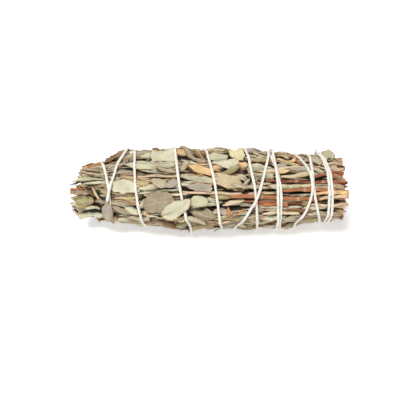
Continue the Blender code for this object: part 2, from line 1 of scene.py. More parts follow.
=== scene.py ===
# %% [markdown]
# # A bunch of dried sage, tied with cotton string
#
# The object is a bunch of leafy sage stems, laid along each other, bound with white cotton string and
# dried. It is about 105 mm long and 33 mm thick. Nothing on it is smooth or straight: most of what shows
# is leaf, flat and pale near the tip, folded into narrow strips near the cut end, with red-brown stems
# between. So this lesson is mostly about one thing, which is how to lay hundreds of thin dry leaves on
# each other without modelling each by hand.
#
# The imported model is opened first, as a frame that never moves. Everything made here lies where that
# model's pieces lie, in the same coordinates.

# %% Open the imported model
import math

import bpy
import numpy as np
from mathutils import Matrix, Vector


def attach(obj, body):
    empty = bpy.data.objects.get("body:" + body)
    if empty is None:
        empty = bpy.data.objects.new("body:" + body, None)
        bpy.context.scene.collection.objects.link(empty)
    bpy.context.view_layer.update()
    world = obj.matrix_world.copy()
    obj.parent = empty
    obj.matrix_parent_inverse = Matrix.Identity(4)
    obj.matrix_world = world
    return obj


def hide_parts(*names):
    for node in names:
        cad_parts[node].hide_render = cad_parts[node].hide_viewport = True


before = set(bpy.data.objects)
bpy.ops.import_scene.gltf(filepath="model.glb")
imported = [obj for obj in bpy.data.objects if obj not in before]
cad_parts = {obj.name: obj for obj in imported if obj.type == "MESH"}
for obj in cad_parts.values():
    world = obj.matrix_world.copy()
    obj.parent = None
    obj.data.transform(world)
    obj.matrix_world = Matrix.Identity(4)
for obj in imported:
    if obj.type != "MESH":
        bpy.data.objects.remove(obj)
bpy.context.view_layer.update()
print("packed pieces:", len(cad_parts))

# %% [markdown]
# A round bunch is easiest to think of in its own coordinates: how far along it a point is, how far round
# it, and how far out from its middle line. Here *along* is in millimetres from the tip, *turn* is in
# degrees with 0 on the near side and 90 on top, and *reach* is in millimetres. Leaves are laid in those
# coordinates and are only turned into x, y and z at the very end, which makes it simple to squeeze the
# whole bunch where the string draws it in.

# %% The bunch's own coordinates
MM = 0.001
SEED = 21
LENGTH = 104.0
MIDDLE_LINE = np.array((-52.686, -0.485, 15.807))  # where along 0, reach 0 is in the model, in millimetres
DROOP, DROOP_FROM = 1.5, 13.0  # how far the tip hangs down, and how far along that begins
chance = np.random.default_rng(SEED)


def smooth_step(x):
    x = np.clip(x, 0.0, 1.0)
    return x * x * (3 - 2 * x)


def droop(along):
    """How far the bunch hangs down there."""
    return DROOP * smooth_step((DROOP_FROM - np.asarray(along)) / DROOP_FROM)


def place(along, turn, reach):
    """Points in millimetres, in the model's axes."""
    angle = np.radians(turn)
    across, up = -reach * np.cos(angle), reach * np.sin(angle) - droop(along)
    return np.stack([along, across, up], axis=-1) + MIDDLE_LINE


print("the middle of the bunch is", MIDDLE_LINE[2], "mm above the table")

# %% [markdown]
# Two curves say how thick the bunch is: one over its leaves and one under them, where the first leaf is
# laid. They are read off between a few measured points. The two ends are ragged, as a hand-cut bunch is, so
# how far leaves and stems reach at each end changes round the bunch.

# %% How thick and how long it is
OUTLINE = (
    # along, reach over the leaves
    (0, 5.6), (4, 8.4), (8, 10.0), (13, 10.2), (18, 11.9), (26, 13.6), (42, 15.0), (56, 14.9), (72, 14.2),
    (86, 13.2), (96, 12.8), (106, 13.3),
)
INSIDE = (
    # along, reach under the leaves
    (0, 4.0), (6, 5.5), (13, 6.4), (26, 9.2), (42, 10.4), (56, 10.4), (72, 10.2), (86, 9.9), (96, 9.8),
    (106, 9.8),
)


def read_off(curve, along):
    return np.interp(along, *zip(*curve))


def outline_at(along):
    return read_off(OUTLINE, along)


def bell(x, middle, half):
    """1 at the middle, and next to nothing at twice the half width."""
    return np.exp(-(((x - middle) / half) ** 2))


def limits(turn):
    """How far along the leaves begin and end, in clumps round the bunch, less on the side seen."""
    near = np.cos(np.radians(turn - 40.0))
    tip_above = bell((turn + 180.0) % 360.0, 285.0, 45.0)
    cut_above = bell((turn + 90.0) % 360.0, 195.0, 34.0)
    clumps = np.sin(np.radians(turn * 9 + 60))
    return 2.4 + 1.2 * near + 2.4 * tip_above, 102.5 - 1.5 * near - 1.6 * cut_above + 0.9 * clumps


print("thickest:", 2 * max(reach for _, reach in OUTLINE), "mm")

# %% [markdown]
# The camera comes early, because the leaves that can be told apart in the picture are laid by where they
# are in it. It looks down at 40 degrees on the bunch's side. `seen_at` sends a ray through a point of the
# picture, counted in pixels of a 416 by 416 frame, and says which place on the bunch it meets first.

# %% Camera
PICTURE = 416
LOOKING_DOWN = math.radians(40.0)
VIEW_WIDTH = math.radians(40.0)
DISTANCE = 213.6
SHOWN_ABOVE = 19  # pixels by which the bunch's middle line is above the picture's middle
NEAREST, FARTHEST = 180, 240  # millimetres from the eye, between which a ray meets the bunch
pixels_deep = PICTURE / 2 / math.tan(VIEW_WIDTH / 2)
rightward = np.array((1.0, 0.0, 0.0))
forward = np.array((0.0, math.cos(LOOKING_DOWN), -math.sin(LOOKING_DOWN)))
upward = np.array((0.0, math.sin(LOOKING_DOWN), math.cos(LOOKING_DOWN)))
aim = MIDDLE_LINE + (52.0, 0, 0) - upward * SHOWN_ABOVE * DISTANCE / pixels_deep
eye = aim - forward * DISTANCE

lens = bpy.data.cameras.new("camera")
lens.sensor_fit = "HORIZONTAL"
lens.angle = VIEW_WIDTH
lens.clip_start = 0.01
camera = bpy.data.objects.new("camera", lens)
bpy.context.scene.collection.objects.link(camera)
tilted = Matrix.Rotation(math.pi / 2 - LOOKING_DOWN, 4, "X")
camera.matrix_world = Matrix.Translation(Vector(eye * MM)) @ tilted
bpy.context.scene.camera = camera


def seen_at(x, y):
    """(along, turn) of the place on the bunch that shows at pixel x, y."""
    ray = forward + rightward * (x - PICTURE / 2) / pixels_deep + upward * (PICTURE / 2 - y) / pixels_deep
    points = eye + np.linspace(NEAREST, FARTHEST, 601)[:, None] * ray - MIDDLE_LINE
    points[:, 2] += droop(points[:, 0])
    outside = np.hypot(points[:, 1], points[:, 2]) - outline_at(points[:, 0])
    met = np.argmax(outside <= 0) if (outside <= 0).any() else np.argmin(outside)
    along, y, z = points[met]
    return along, math.degrees(math.atan2(z, -y))


print("the middle of the picture meets the bunch at", np.round(seen_at(208, 189), 1))

# %% [markdown]
# The string goes round thirteen times, from the cut end to the tip and back again. Its way is written as
# places that it passes, four on each turn, and a smooth curve runs through them. Where it lies is needed
# early, because leaves are drawn in under it.

# %% Where the string goes
PASS_TURNS = (-50.0, 40.0, 130.0, 220.0)
PASSES = (
    # how far along it is low on the side seen, in the middle of it, at the top and at the back
    (96.2, 95.7, 93.3, 92.6), (95.0, 94.6, 92.2, 91.2), (93.4, 89.2, 88.6, 84.0), (78.8, 77.4, 73.4, 71.5),
    (70.3, 68.3, 63.8, 60.5), (57.4, 54.6, 50.2, 48.0), (46.2, 42.2, 39.0, 34.5), (29.2, 26.6, 24.8, 20.5),
    (17.1, 16.8, 12.2, 12.2), (14.4, 17.4, 25.4, 64.0), (61.9, 70.4, 75.2, 77.0), (77.5, 76.4, 75.6, 79.6),
    (83.6, 88.6, 84.4),
)
KNOT_ALONG, KNOT_TURN, ENDS_APART = 90.6, 220.0, 4.4
STEEPEST = 2.5  # how much steeper than straight the string may leave a place
knots = [(KNOT_TURN - 360.0, KNOT_ALONG + ENDS_APART / 2)]
for lap, places in enumerate(PASSES):
    knots += [(turn + 360.0 * lap, along) for turn, along in zip(PASS_TURNS, places)]
knots = np.array(knots + [(KNOT_TURN + 360.0 * (len(PASSES) - 1), KNOT_ALONG - ENDS_APART / 2)])


def string_along(wound):
    """How far along the bunch the string is at each wound angle."""
    angles, places = knots.T
    slopes = np.gradient(places, angles)
    i = np.clip(np.searchsorted(angles, wound) - 1, 0, len(angles) - 2)
    span = angles[i + 1] - angles[i]
    x = (wound - angles[i]) / span
    rise = places[i + 1] - places[i]
    most = abs(rise) * STEEPEST
    start = np.clip(slopes[i] * span, -most, most)
    end = np.clip(slopes[i + 1] * span, -most, most)
    return places[i] + x * start + x * x * (3 * rise - 2 * start - end) + x**3 * (start + end - 2 * rise)


print("string turns:", round((knots[-1, 0] - knots[0, 0]) / 360, 2))

# %% [markdown]
# A real bunch is made by laying leaf on leaf. The same can be done in code with a *height map* wrapped
# round the bunch: a grid that holds how far out the bunch reaches so far. A new leaf reads the grid under
# itself, lies on what it finds, and then raises the grid to its own top. Cloth simulation could do it
# too, but hundreds of stiff dry leaves are faster and steadier this way. Each is sunk a little into what is
# below it, as packed leaves press into each other.

# %% A surface that each leaf is laid on
STEP = 0.25
ROWS = np.arange(-8.0, LENGTH + 10.0, STEP)
COLUMNS = 480


def softened(grid, along_mm, around_degrees):
    """The grid blurred by that much along the bunch and round it."""
    pad = 60
    padded = np.pad(grid, ((pad, pad), (0, 0)), mode="edge")
    waves = np.fft.rfft2(padded)
    down = np.fft.fftfreq(padded.shape[0])[:, None] * along_mm / STEP
    across = np.fft.rfftfreq(COLUMNS)[None, :] * around_degrees / (360 / COLUMNS)
    waves *= np.exp(-2 * np.pi**2 * (down**2 + across**2))
    return np.fft.irfft2(waves, padded.shape)[pad:-pad]


class Surface:
    """How far out the bunch reaches so far, over its length and round it."""

    def __init__(self, reach):
        self.reach = np.array(reach, float)

    def read(self, along, turn):
        row = np.clip((np.asarray(along) - ROWS[0]) / STEP, 0, len(ROWS) - 1.001)
        column = (np.asarray(turn) % 360.0) / 360.0 * COLUMNS
        r, c = np.floor(row).astype(int), np.floor(column).astype(int) % COLUMNS
        right, down, over = (c + 1) % COLUMNS, row - np.floor(row), column - np.floor(column)
        near = self.reach[r, c] * (1 - over) + self.reach[r, right] * over
        far = self.reach[r + 1, c] * (1 - over) + self.reach[r + 1, right] * over
        return near * (1 - down) + far * down

    def raise_to(self, along, turn, reach):
        rows = np.clip(np.round((along - ROWS[0]) / STEP), 0, len(ROWS) - 1).astype(int)
        columns = np.round((turn % 360.0) / 360.0 * COLUMNS).astype(int) % COLUMNS
        np.maximum.at(self.reach, (rows, columns), reach)


inside = read_off(INSIDE, ROWS)
surface = Surface(np.repeat(inside[:, None], COLUMNS, axis=1))
print("surface grid:", surface.reach.shape)

# %% [markdown]
# Each piece of the object is gathered as plain arrays first: points in the bunch's coordinates, faces,
# and what the finish needs to know at each point. `tone` is the leaf's own colour, `margin` is how many
# millimetres the point is from the leaf's edge, and the UV map holds millimetres along and across the
# leaf, so that veins keep their size on leaves of any size.

# %% Gathering a piece's parts
LEAF, STEM, END = 0, 1, 2


class Piece:
    """The parts of one piece while it is made."""

    def __init__(self):
        self.points, self.faces, self.kinds = [], [], []
        self.tones, self.margins, self.spots, self.late = [], [], [], []
        self.count = 0

    def add(self, points, faces, kind, tone, margin, spot):
        points = points.reshape(-1, 3)
        self.points.append(points)
        self.faces.append(np.asarray(faces) + self.count)
        self.kinds.append(np.full(len(faces), kind))
        self.tones.append(np.broadcast_to(tone, points.shape).copy())
        self.margins.append(np.broadcast_to(margin, len(points)).astype(float))
        self.spots.append(np.broadcast_to(spot, (len(points), 2)).astype(float))
        self.late.append(np.full(len(points), bunch_is_tied))
        self.count += len(points)


bunch_is_tied = False
pieces = {name: Piece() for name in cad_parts}
print("pieces to make:", len(pieces))

# %% [markdown]
# Dried sage is pale because of the felt on its leaves: grey-green where it dried well, tan or olive where
# the felt has worn off, and rust-brown along torn edges. Stems are red-brown near the cut end and paler
# towards the tip. These tones are written as the eye sees them and turned into the linear values that
# Blender mixes.

# %% Tones of leaf, stem and string
def tone(red, green, blue):
    """A colour as seen on a screen, 0 to 255, as the linear colour that a shader takes."""
    seen = np.array((red, green, blue)) / 255.0
    return np.where(seen <= 0.04045, seen / 12.92, ((seen + 0.055) / 1.055) ** 2.4)


TONES = {
    "pale": tone(200, 198, 172),
    "green": tone(186, 188, 158),
    "grey": tone(176, 168, 142),
    "dusk": tone(148, 137, 114),
    "lilac": tone(162, 154, 140),
    "straw": tone(206, 190, 156),
    "tan": tone(222, 186, 136),
    "felt_tan": tone(196, 180, 148),
    "gold_green": tone(216, 208, 166),
    "olive": tone(176, 160, 112),
    "moss": tone(152, 142, 98),
    "rust": tone(182, 112, 58),
    "brown": tone(120, 94, 64),
    "bark": tone(166, 108, 70),
    "bark_red": tone(144, 84, 58),
    "bark_pale": tone(206, 180, 150),
    "bark_grey": tone(160, 138, 118),
    # the dark brown below is the inside's tone, painted darker as shade seen through gaps; grain and streaks
    # use it too
    "heart": tone(92, 74, 50),
    # the near-black tone below is painted shade, for the sheet laid in the tip's shadowed hollow
    "hollow": tone(46, 36, 24),
}
FILL_TONES = ("pale", "green", "grey", "dusk", "lilac", "straw", "tan", "olive", "moss", "rust", "brown")
NEAR_TIP = np.array((27, 22, 16, 8, 5, 10, 1, 5, 2, 1, 3), float)
NEAR_CUT = np.array((20, 10, 15, 8, 5, 18, 4, 7, 3, 4, 6), float)


def fill_tone(along):
    """A tone for a leaf that the picture doesn't pick out, in the mix that shows at that distance."""
    share = smooth_step((along - 40) / 40)
    weights = NEAR_TIP / NEAR_TIP.sum() * (1 - share) + NEAR_CUT / NEAR_CUT.sum() * share
    return TONES[chance.choice(FILL_TONES, p=weights)]


print("tones:", ", ".join(TONES))

# %% [markdown]
# A leaf is a small sheet, modelled as a net of points with a top and an underside. Its outline, its
# ragged edge, how it bends sideways and how it is curled across are each a short formula. The curl is
# given as the slope at every point across the leaf, which is then added up from the middle: a steady
# slope makes a fold, one that grows makes a trough or an arch, and one that grows only near the edges
# makes rolled margins. One function then covers every leaf on the bunch.

# %% How a leaf is curled across, and its outline
def ragged(x, waves, strength):
    """A wavering line of that strength, different each time."""
    line = np.zeros_like(x)
    for k in range(1, waves + 1):
        size = math.sqrt(1 / k) * chance.uniform(0.4, 1.0)
        line = line + size * np.sin(2 * np.pi * (k * x + chance.uniform()))
    return line * strength / 1.6


SECTIONS = {
    "flat": lambda v: 0.16 * v,
    "arch": lambda v: -1.05 * v,
    "trough": lambda v: 0.95 * v,
    "fold": lambda v: 0.75 * np.tanh(6 * v),
    "ridge": lambda v: -0.75 * np.tanh(6 * v),
    "roll": lambda v: 1.9 * np.sign(v) * np.clip(np.abs(v) - 0.45, 0, 1) ** 1.2,
    "hook": lambda v: -2.6 * np.clip(v - 0.15, 0, 1) ** 1.1 + 0.1,
    "tube": lambda v: -1.9 * v,
}


def half_width(outline, u):
    """How wide each outline is along a leaf, from its stalk at 0 to its tip at 1."""
    if outline == "leaf":
        return np.maximum(np.sin(np.pi * u**0.8) ** 0.62, 0.12 + 0.0 * u)
    if outline == "strip":
        return np.minimum(1.0, np.minimum((u / 0.10 + 0.12) ** 0.6, ((1 - u) / 0.22 + 0.02) ** 0.6))
    if outline == "cut":
        return np.minimum(1.0, ((1 - u) / 0.4 + 0.01) ** 0.65)
    if outline == "round":
        return np.sqrt(np.clip(1 - np.abs(2 * u - 1) ** 2.4, 0.004, 1))
    return np.full_like(u, 1.0) * (1 - 0.2 * np.abs(2 * u - 1) ** 3)


def added_up(slopes, step):
    """Running total across a leaf, counted from its middle."""
    total = np.cumsum((slopes[:, 1:] + slopes[:, :-1]) / 2 * step, axis=1)
    total = np.concatenate([np.zeros((len(slopes), 1)), total], axis=1)
    return total - total[:, slopes.shape[1] // 2][:, None]


print("sections:", ", ".join(SECTIONS))


# %% [markdown]
# `draped` finds how a thin, stiff sheet lies over bumps. It starts on the surface, is smoothed, and is
# pushed back up wherever smoothing took it below the surface. After some rounds of that it touches the
# high places and spans the hollows between, as a dry leaf does.

# %% How a sheet lies over bumps
def draped(floor, rounds):
    height = floor.copy()
    for _ in range(rounds):
        padded = np.pad(height, 1, mode="edge")
        near = (padded[:-2, 1:-1] + padded[2:, 1:-1] + padded[1:-1, :-2] + padded[1:-1, 2:]) / 4
        height = np.maximum(floor, near * 0.8 + height * 0.2)
    return height


bumps = np.zeros((3, 9))
bumps[:, 4] = 1.0
print("over a bump of 1 mm:", draped(bumps, 14)[1].round(2))

# %% [markdown]
# The form of a leaf before it is laid is worked out flat: how far each of its points is ahead of the stalk,
# how far aside, and how high. Ragged lines move its edges, tear its ends and crease it, and each draws its
# own random numbers, so no two leaves are alike.

# %% The form of a leaf
def leaf_form(u, v, length, width, outline, section, curl, tilt, twist, bow, wave, edge, torn, crease):
    """How far ahead, aside and high its points are, and half its width there."""
    half = width / 2 * half_width(outline, u)
    half = half * np.where(v < 0, 1 + ragged(u, 5, edge), 1 + ragged(u, 5, edge))
    shortened = torn * (ragged(v, 3, 1.0) * u**5 + ragged(v, 3, 1.0) * (1 - u) ** 5)
    slopes = curl * SECTIONS[section](v) * (1 + 0.3 * np.sin(2 * np.pi * (u + chance.uniform())))
    slopes = slopes + tilt + twist * (u - 0.5)
    step = 2.0 / (v.size - 1)
    aside = half * added_up(np.cos(slopes), step)
    height = half * added_up(np.sin(slopes), step)
    ripple = np.sin(2 * np.pi * (u * length / 7 + chance.uniform()))
    height = height + wave * ripple * v * np.abs(v) + ragged(u, 3, wave * 0.6)
    creases = v + 0.12 * np.sin(3 * u + chance.uniform(0, 6))
    height = height + ragged(creases, 3 if v.size == 9 else 5, crease)
    aside = aside + bow * length * 4 * (u - u * u) + ragged(u, 2, 0.012 * length) - ragged(u[:1], 2, 0.0)
    ahead = length * (u + 0 * v) + shortened
    return ahead, aside, height, half


CUT_FROM = 93  # leaves whose stalks are beyond this were cut through
BROWNED = 0.7  # millimetres over which a cut end has browned


def leaf_shade(u, v, length, stalk_at, colour):
    """Its tone at each point, browned where it was cut."""
    shade = colour if colour is not None else fill_tone(stalk_at)
    shade = shade * (1 + chance.uniform(-0.06, 0.06))
    shade = shade * (1 + ragged(u, 2, 0.05) + ragged(v, 1, 0.03))[..., None]
    if stalk_at > CUT_FROM:
        browned = 0.75 * np.exp(-u * length / BROWNED)[..., None]
        shade = shade * (1 - browned) + TONES["rust"] * browned
    return shade


print("ready to form leaves of", len(SECTIONS), "sections")

# %% [markdown]
# A leaf has two sides, a hair apart, and thinner towards its edges. The second helper lists the faces of
# such a closed sheet, and the third reads a coarse net at more places, so that a leaf marks every place of
# the surface that it covers.

# %% Two sides, faces and a finer net
LEAF_THICK = 0.24


def two_sides(middle, around, thin):
    """The top and the underside of a sheet, from its middle as along, arc and height in millimetres."""
    normal = np.cross(np.gradient(middle, axis=0), np.gradient(middle, axis=1))
    normal /= np.maximum(np.linalg.norm(normal, axis=-1, keepdims=True), 1e-9)
    normal *= np.sign(normal[..., 2].sum())
    both = []
    for way in (0.5, -0.5):
        along, arc, height = np.moveaxis(middle + normal * thin * way, -1, 0)
        both.append(np.stack([along, np.degrees(arc / around), height + LEAF_THICK / 2], axis=-1))
    return both


def sheet_faces(rows, columns):
    """Quads of a closed sheet: a top, an underside and the rim that joins them."""
    index = np.arange(rows * columns).reshape(rows, columns)
    top = np.stack([index[:-1, :-1], index[:-1, 1:], index[1:, 1:], index[1:, :-1]], axis=-1).reshape(-1, 4)
    rim = np.concatenate([index[0, :-1], index[:-1, -1], index[-1, :0:-1], index[:0:-1, 0]])
    after = np.roll(rim, -1)
    under = rows * columns
    joined = np.stack([after, rim, rim + under, after + under], axis=-1)
    return np.concatenate([top, top[:, ::-1] + under, joined])


def finer(count, times):
    """The matrix that reads a row of numbers at times as many places, by straight lines."""
    at = np.linspace(0, count - 1, (count - 1) * times + 1)
    low = np.minimum(at.astype(int), count - 2)
    found = np.zeros((len(at), count))
    found[np.arange(len(at)), low] = 1 - (at - low)
    found[np.arange(len(at)), low + 1] += at - low
    return found


print("faces of a leaf of 29 rows by 13 points:", len(sheet_faces(29, 13)))

# %% [markdown]
# Laying a leaf then takes a few steps: form it, turn it to its heading, lie it on what is below, give it
# its two sides, and raise the surface. A leaf inside the bunch is given its reach and lies on nothing.

# %% Laying a leaf
MARKED = {9: 5, 13: 4, 19: 3}  # how much finer each net is read, by its points across


def lay_leaf(
    piece, base, heading, length, width, outline="leaf", section="flat", colour=None, curl=1.0, tilt=0.0,
    twist=0.0, bow=0.0, wave=0.1, edge=0.11, torn=0.0, crease=0.09, sink=0.4, reach=None, rise=0.0, stiff=14,
):
    """Lays one leaf from its stalk at base = (along, turn), heading 0 towards the tip of the bunch.

    sink is how much of its own height it is pressed into what is under it, rise lifts its tip, and reach lays
    it at that reach, for leaves inside the bunch.
    """
    rows = int(np.clip(round(length / 0.6), 7, 36)) + 1
    columns = 9 if width < 3.5 else 13 if width < 5.6 else 19
    u = np.linspace(0, 1, rows)[:, None]
    v = np.linspace(-1, 1, columns)[None, :]
    ahead, aside, height, half = leaf_form(
        u, v, length, width, outline, section, curl, tilt, twist, bow, wave, edge, torn, crease
    )
    angle = math.radians(heading)
    along = base[0] - ahead * math.cos(angle) + aside * math.sin(angle)
    arc = ahead * math.sin(angle) + aside * math.cos(angle)
    around = outline_at(along)
    turn = base[1] + np.degrees(arc / around)
    if reach is None:
        deep = (height.max() - height.min()) * sink
        lifted = draped(surface.read(along, turn), stiff) + height - height.min() - deep
    else:
        lifted = np.interp(u, (0, 1), reach) + height
    lifted = lifted + rise * u**2.5
    thinner = 0.35 + 0.65 * np.sqrt(np.clip(1 - v**4, 0, 1))
    thin = LEAF_THICK * thinner[..., None] * np.ones_like(u)[..., None]
    both = two_sides(np.stack([along, np.radians(turn) * around, lifted], axis=-1), around, thin)
    if reach is None:
        down, across = finer(rows, 4), finer(columns, MARKED[columns])
        surface.raise_to(*(down @ both[0][..., k] @ across.T for k in range(3)))
    from_stalk = u * (0.4 if base[0] > CUT_FROM else 1.0)  # cut ends are browned further in
    margin = np.minimum((1 - np.abs(v)) * half + 0 * u, np.minimum(from_stalk, 1 - u) * length + 0 * v)
    spot = np.stack([u * length + 0 * v + chance.uniform(0, 400), v * half], axis=-1)
    shade = leaf_shade(u, v, length, base[0], colour)
    faces = sheet_faces(rows, columns)
    if np.cross(both[0][1, 0] - both[0][0, 0], both[0][0, 1] - both[0][0, 0])[2] < 0:
        faces = faces[:, ::-1]
    piece.add(
        np.stack(both), faces, LEAF, np.tile(shade.reshape(-1, 3), (2, 1)), np.tile(margin.ravel(), 2),
        np.tile(spot.reshape(-1, 2), (2, 1)),
    )


print("a leaf of 17 by 6 mm has", 2 * 29 * 19, "points")

# %% [markdown]
# A stem is a tube that follows the bunch. Real sage stems have rings where leaf pairs grew, run slightly
# crooked between them and are a little flattened, so the tube's radius changes along and round it. Its
# cut end is a separate small face with a pale pith, because cut ends are what one sees at the right.

# %% The cut ends of a stem
def close_ends(piece, points, ahead, cut):
    """Closes a tube with a rim, a ring of wood and a pith. ahead is 1 where along grows, else -1."""
    rows, sides = points.shape[:2]
    a, b = np.arange(sides), (np.arange(sides) + 1) % sides
    pairs = np.arange(0, sides, 2)
    rim_faces = np.stack([a, b, b + sides, a + sides], -1)
    wood = np.stack([a + sides, b + sides, b + 2 * sides, a + 2 * sides], -1)
    fan = np.stack([pairs, pairs + 1, (pairs + 2) % sides, np.full(len(pairs), sides)], -1) + 2 * sides
    tones = np.repeat([cut * 0.75, cut, TONES["straw"]], (sides, sides, sides + 1), axis=0)
    for row, way in ((0, -ahead), (rows - 1, ahead)):
        rim, middle = points[row], points[row].mean(axis=0)
        push = 0.12 * way
        inner = middle + (rim - middle) * 0.8 + (push, 0, 0)
        pith = middle + (rim - middle) * 0.3 + (push * 0.3, 0, 0)
        disc = np.concatenate([rim, inner, pith, middle[None]])
        faces = np.concatenate([rim_faces, wood, fan])
        piece.add(disc, faces if way > 0 else faces[:, ::-1], END, tones, 2.0, disc[:, :2])


print("a cut end is three rings")

# %% [markdown]
# A stem lies on the surface too, but as a line: it takes the highest of three places under it, is smoothed
# more, and is sunk by a share of its own thickness. Its whole upper side then raises the surface.

# %% Laying a stem
STEM_SIDES = 12


def lay_stem(
    piece, start, end, radius, colour, cut_colour=None, reach=None, sink=0.35, rings=(), side_cut=0.0
):
    """A stem from start to end, both (along, turn). Its end is the cut one, and rings are its leaf scars."""
    arc = math.radians(end[1] - start[1]) * outline_at((start[0] + end[0]) / 2)
    length = math.hypot(end[0] - start[0], arc)
    rows, sides = int(np.clip(length / 0.5, 8, 200)) + 1, STEM_SIDES
    u = np.linspace(0, 1, rows)
    along = start[0] + (end[0] - start[0]) * u
    turn = start[1] + (end[1] - start[1]) * u + np.degrees(ragged(u, 3, 0.3) / outline_at(along))
    radii = radius * np.interp(u, (0, 0.3, 1), (0.72, 0.92, 1)) * (1 + ragged(u, 6, 0.05))
    ringed = np.zeros(rows)
    for ring in rings:
        ringed = np.maximum(ringed, np.exp(-0.5 * ((along - ring) / 0.35) ** 2))
    radii = radii * (1 + 0.17 * ringed)
    if reach is None:
        half_turn = np.degrees(radii / outline_at(along))
        under = [surface.read(along, turn + half_turn * share) for share in (-0.6, 0, 0.6)]
        height = draped(np.stack(under, axis=1), 30).max(axis=1) + radii * (1 - 2 * sink)
    else:
        height = np.interp(u, (0, 1), reach) + ragged(u, 3, 0.1)
    angles = 2 * np.pi * np.arange(sides) / sides
    ridges = 1 + ragged(angles / (2 * np.pi), 4, 0.06)[None, :] + 0.02 * np.sin(angles * 5 + u[:, None] * 9)
    out = radii[:, None] * ridges * np.cos(angles)
    across = radii[:, None] * ridges * np.sin(angles) * 1.04
    leaning = np.zeros((rows, sides))
    leaning[-1] = side_cut * np.sin(angles) * radius
    aside = np.degrees(across / np.maximum(height[:, None], 1.2))
    points = np.stack([along[:, None] + leaning, turn[:, None] + aside, height[:, None] + out], axis=-1)
    if reach is None:
        upper, down, over = np.arange(-3, 4) % sides, finer(rows, 3), finer(7, 4)
        surface.raise_to(*(down @ points[:, upper, k] @ over.T for k in range(3)))
    index = np.arange(rows * sides).reshape(rows, sides)
    after = np.roll(index, -1, axis=1)
    faces = np.stack([index[:-1], after[:-1], after[1:], index[1:]], axis=-1).reshape(-1, 4)
    if end[0] < start[0]:
        faces = faces[:, ::-1]
    patches = (1 + ragged(u, 5, 0.16))[:, None] + 0.08 * np.sin(angles * 2 + chance.uniform(0, 6))
    shade = colour * patches[..., None]
    shade = shade * (1 - 0.6 * ringed[:, None, None]) + TONES["bark_pale"] * 0.6 * ringed[:, None, None]
    browned = 0.7 * np.exp(-(1 - u) * length / 0.6)[:, None, None]
    shade = shade * (1 - browned) + TONES["rust"] * browned
    ahead_at = u[:, None] * length + chance.uniform(0, 400) + 0 * angles
    spot = np.stack([ahead_at, angles * radius + 0 * u[:, None]], axis=-1)
    piece.add(points, faces, STEM, shade.reshape(-1, 3), 2.0, spot.reshape(-1, 2))
    close_ends(piece, points, np.sign(end[0] - start[0]), TONES["rust"] if cut_colour is None else cut_colour)


print("a stem is a tube of", STEM_SIDES, "sides")

# %% [markdown]
# The heart of the bunch is stems and crumpled leaves pressed together. Little of it shows, only at the cut
# end, in the hollow tip and through gaps, so it is a ribbed dark body in six parts, as many as the packed
# model has, with real stems and curled leaves standing out of it at both ends. Its dark brown is painted
# shade, for the shadow seen through gaps. The same random numbers are drawn as for the imported model, so
# that each stem is where that model has it.

# %% The heart
same = np.random.default_rng(7)
HANDFULS = 6
SPAN = 360.0 / HANDFULS
HEART_FROM, HEART_TO, STATIONS, RIM = 5.0, 97.0, 70, 25


def handful_body(piece, low):
    """A ribbed sixth of the heart, from the middle out to just under the surface."""
    stations = np.linspace(HEART_FROM, HEART_TO, STATIONS)
    rim = np.linspace(0, SPAN, RIM)
    ribs = 0.35 * np.sin(rim * 0.7 + chance.uniform(0, 6)) + ragged(np.linspace(0, 1, RIM), 5, 0.3)
    lean = 9.0 * np.sin(stations / 22.0)
    turn = low + lean[:, None] + np.concatenate([[SPAN * 0.5], rim, [SPAN * 0.5]])
    reach = np.interp(stations, ROWS, inside)[:, None] - 1.1 + ribs + ragged(stations[:, None] / 30, 4, 0.25)
    reach = reach * np.interp(stations, (5, 9, 91, 97), (0.6, 1, 1, 0.75))[:, None]
    reach = np.concatenate([np.full((STATIONS, 1), 0.1), reach, np.full((STATIONS, 1), 0.12)], axis=1)
    points = np.stack([stations[:, None] + 0 * turn, turn, reach], axis=-1)
    index = np.arange(points[..., 0].size).reshape(STATIONS, RIM + 2)
    faces = np.stack([index[:-1, :-1], index[1:, :-1], index[1:, 1:], index[:-1, 1:]], axis=-1).reshape(-1, 4)
    # the heart's dark brown is painted shade, for what shows through gaps
    patches = 1 + ragged(stations[:, None] / 9, 5, 0.2) + ragged(turn / 60, 5, 0.2)
    shade = (TONES["heart"] * patches[..., None]).reshape(-1, 3)
    spot = points[..., :2].reshape(-1, 2)
    piece.add(points, faces, LEAF, shade, 3.0, spot)
    for row in (0, STATIONS - 1):
        rim = index[row]
        ends = np.stack([rim[1:-3:2], rim[2:-2:2], rim[3:-1:2], np.full(12, rim[0])], -1)
        piece.add(points, ends if row else ends[:, ::-1], LEAF, shade, 3.0, spot)


print("the heart is laid in", HANDFULS, "handfuls of", SPAN, "degrees")

# %% [markdown]
# At the cut end, each handful has six stems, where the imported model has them, and thin stems and curled
# leaves of its own between them, cut off at ragged lengths. At the tip a stem and some leaves curl round a
# hollow, which is left open on the near side.

# %% Stems and leaves of the inside
PACKED_STEMS = ((0, 2.7), (-15, 5.4), (15, 5.3), (-20, 8.4), (0, 8.2), (20, 8.5))  # degrees aside, reach
THIN_STEMS, CUT_LEAVES, TIP_LEAVES = 7, 18, 10
BARKS = ("bark", "bark_red", "bark_pale", "bark_grey")
CUTS = ("bark", "tan", "olive", "bark_pale", "bark_grey")
TIP_HOLLOW = -26.0  # the turn at which the tip is hollow


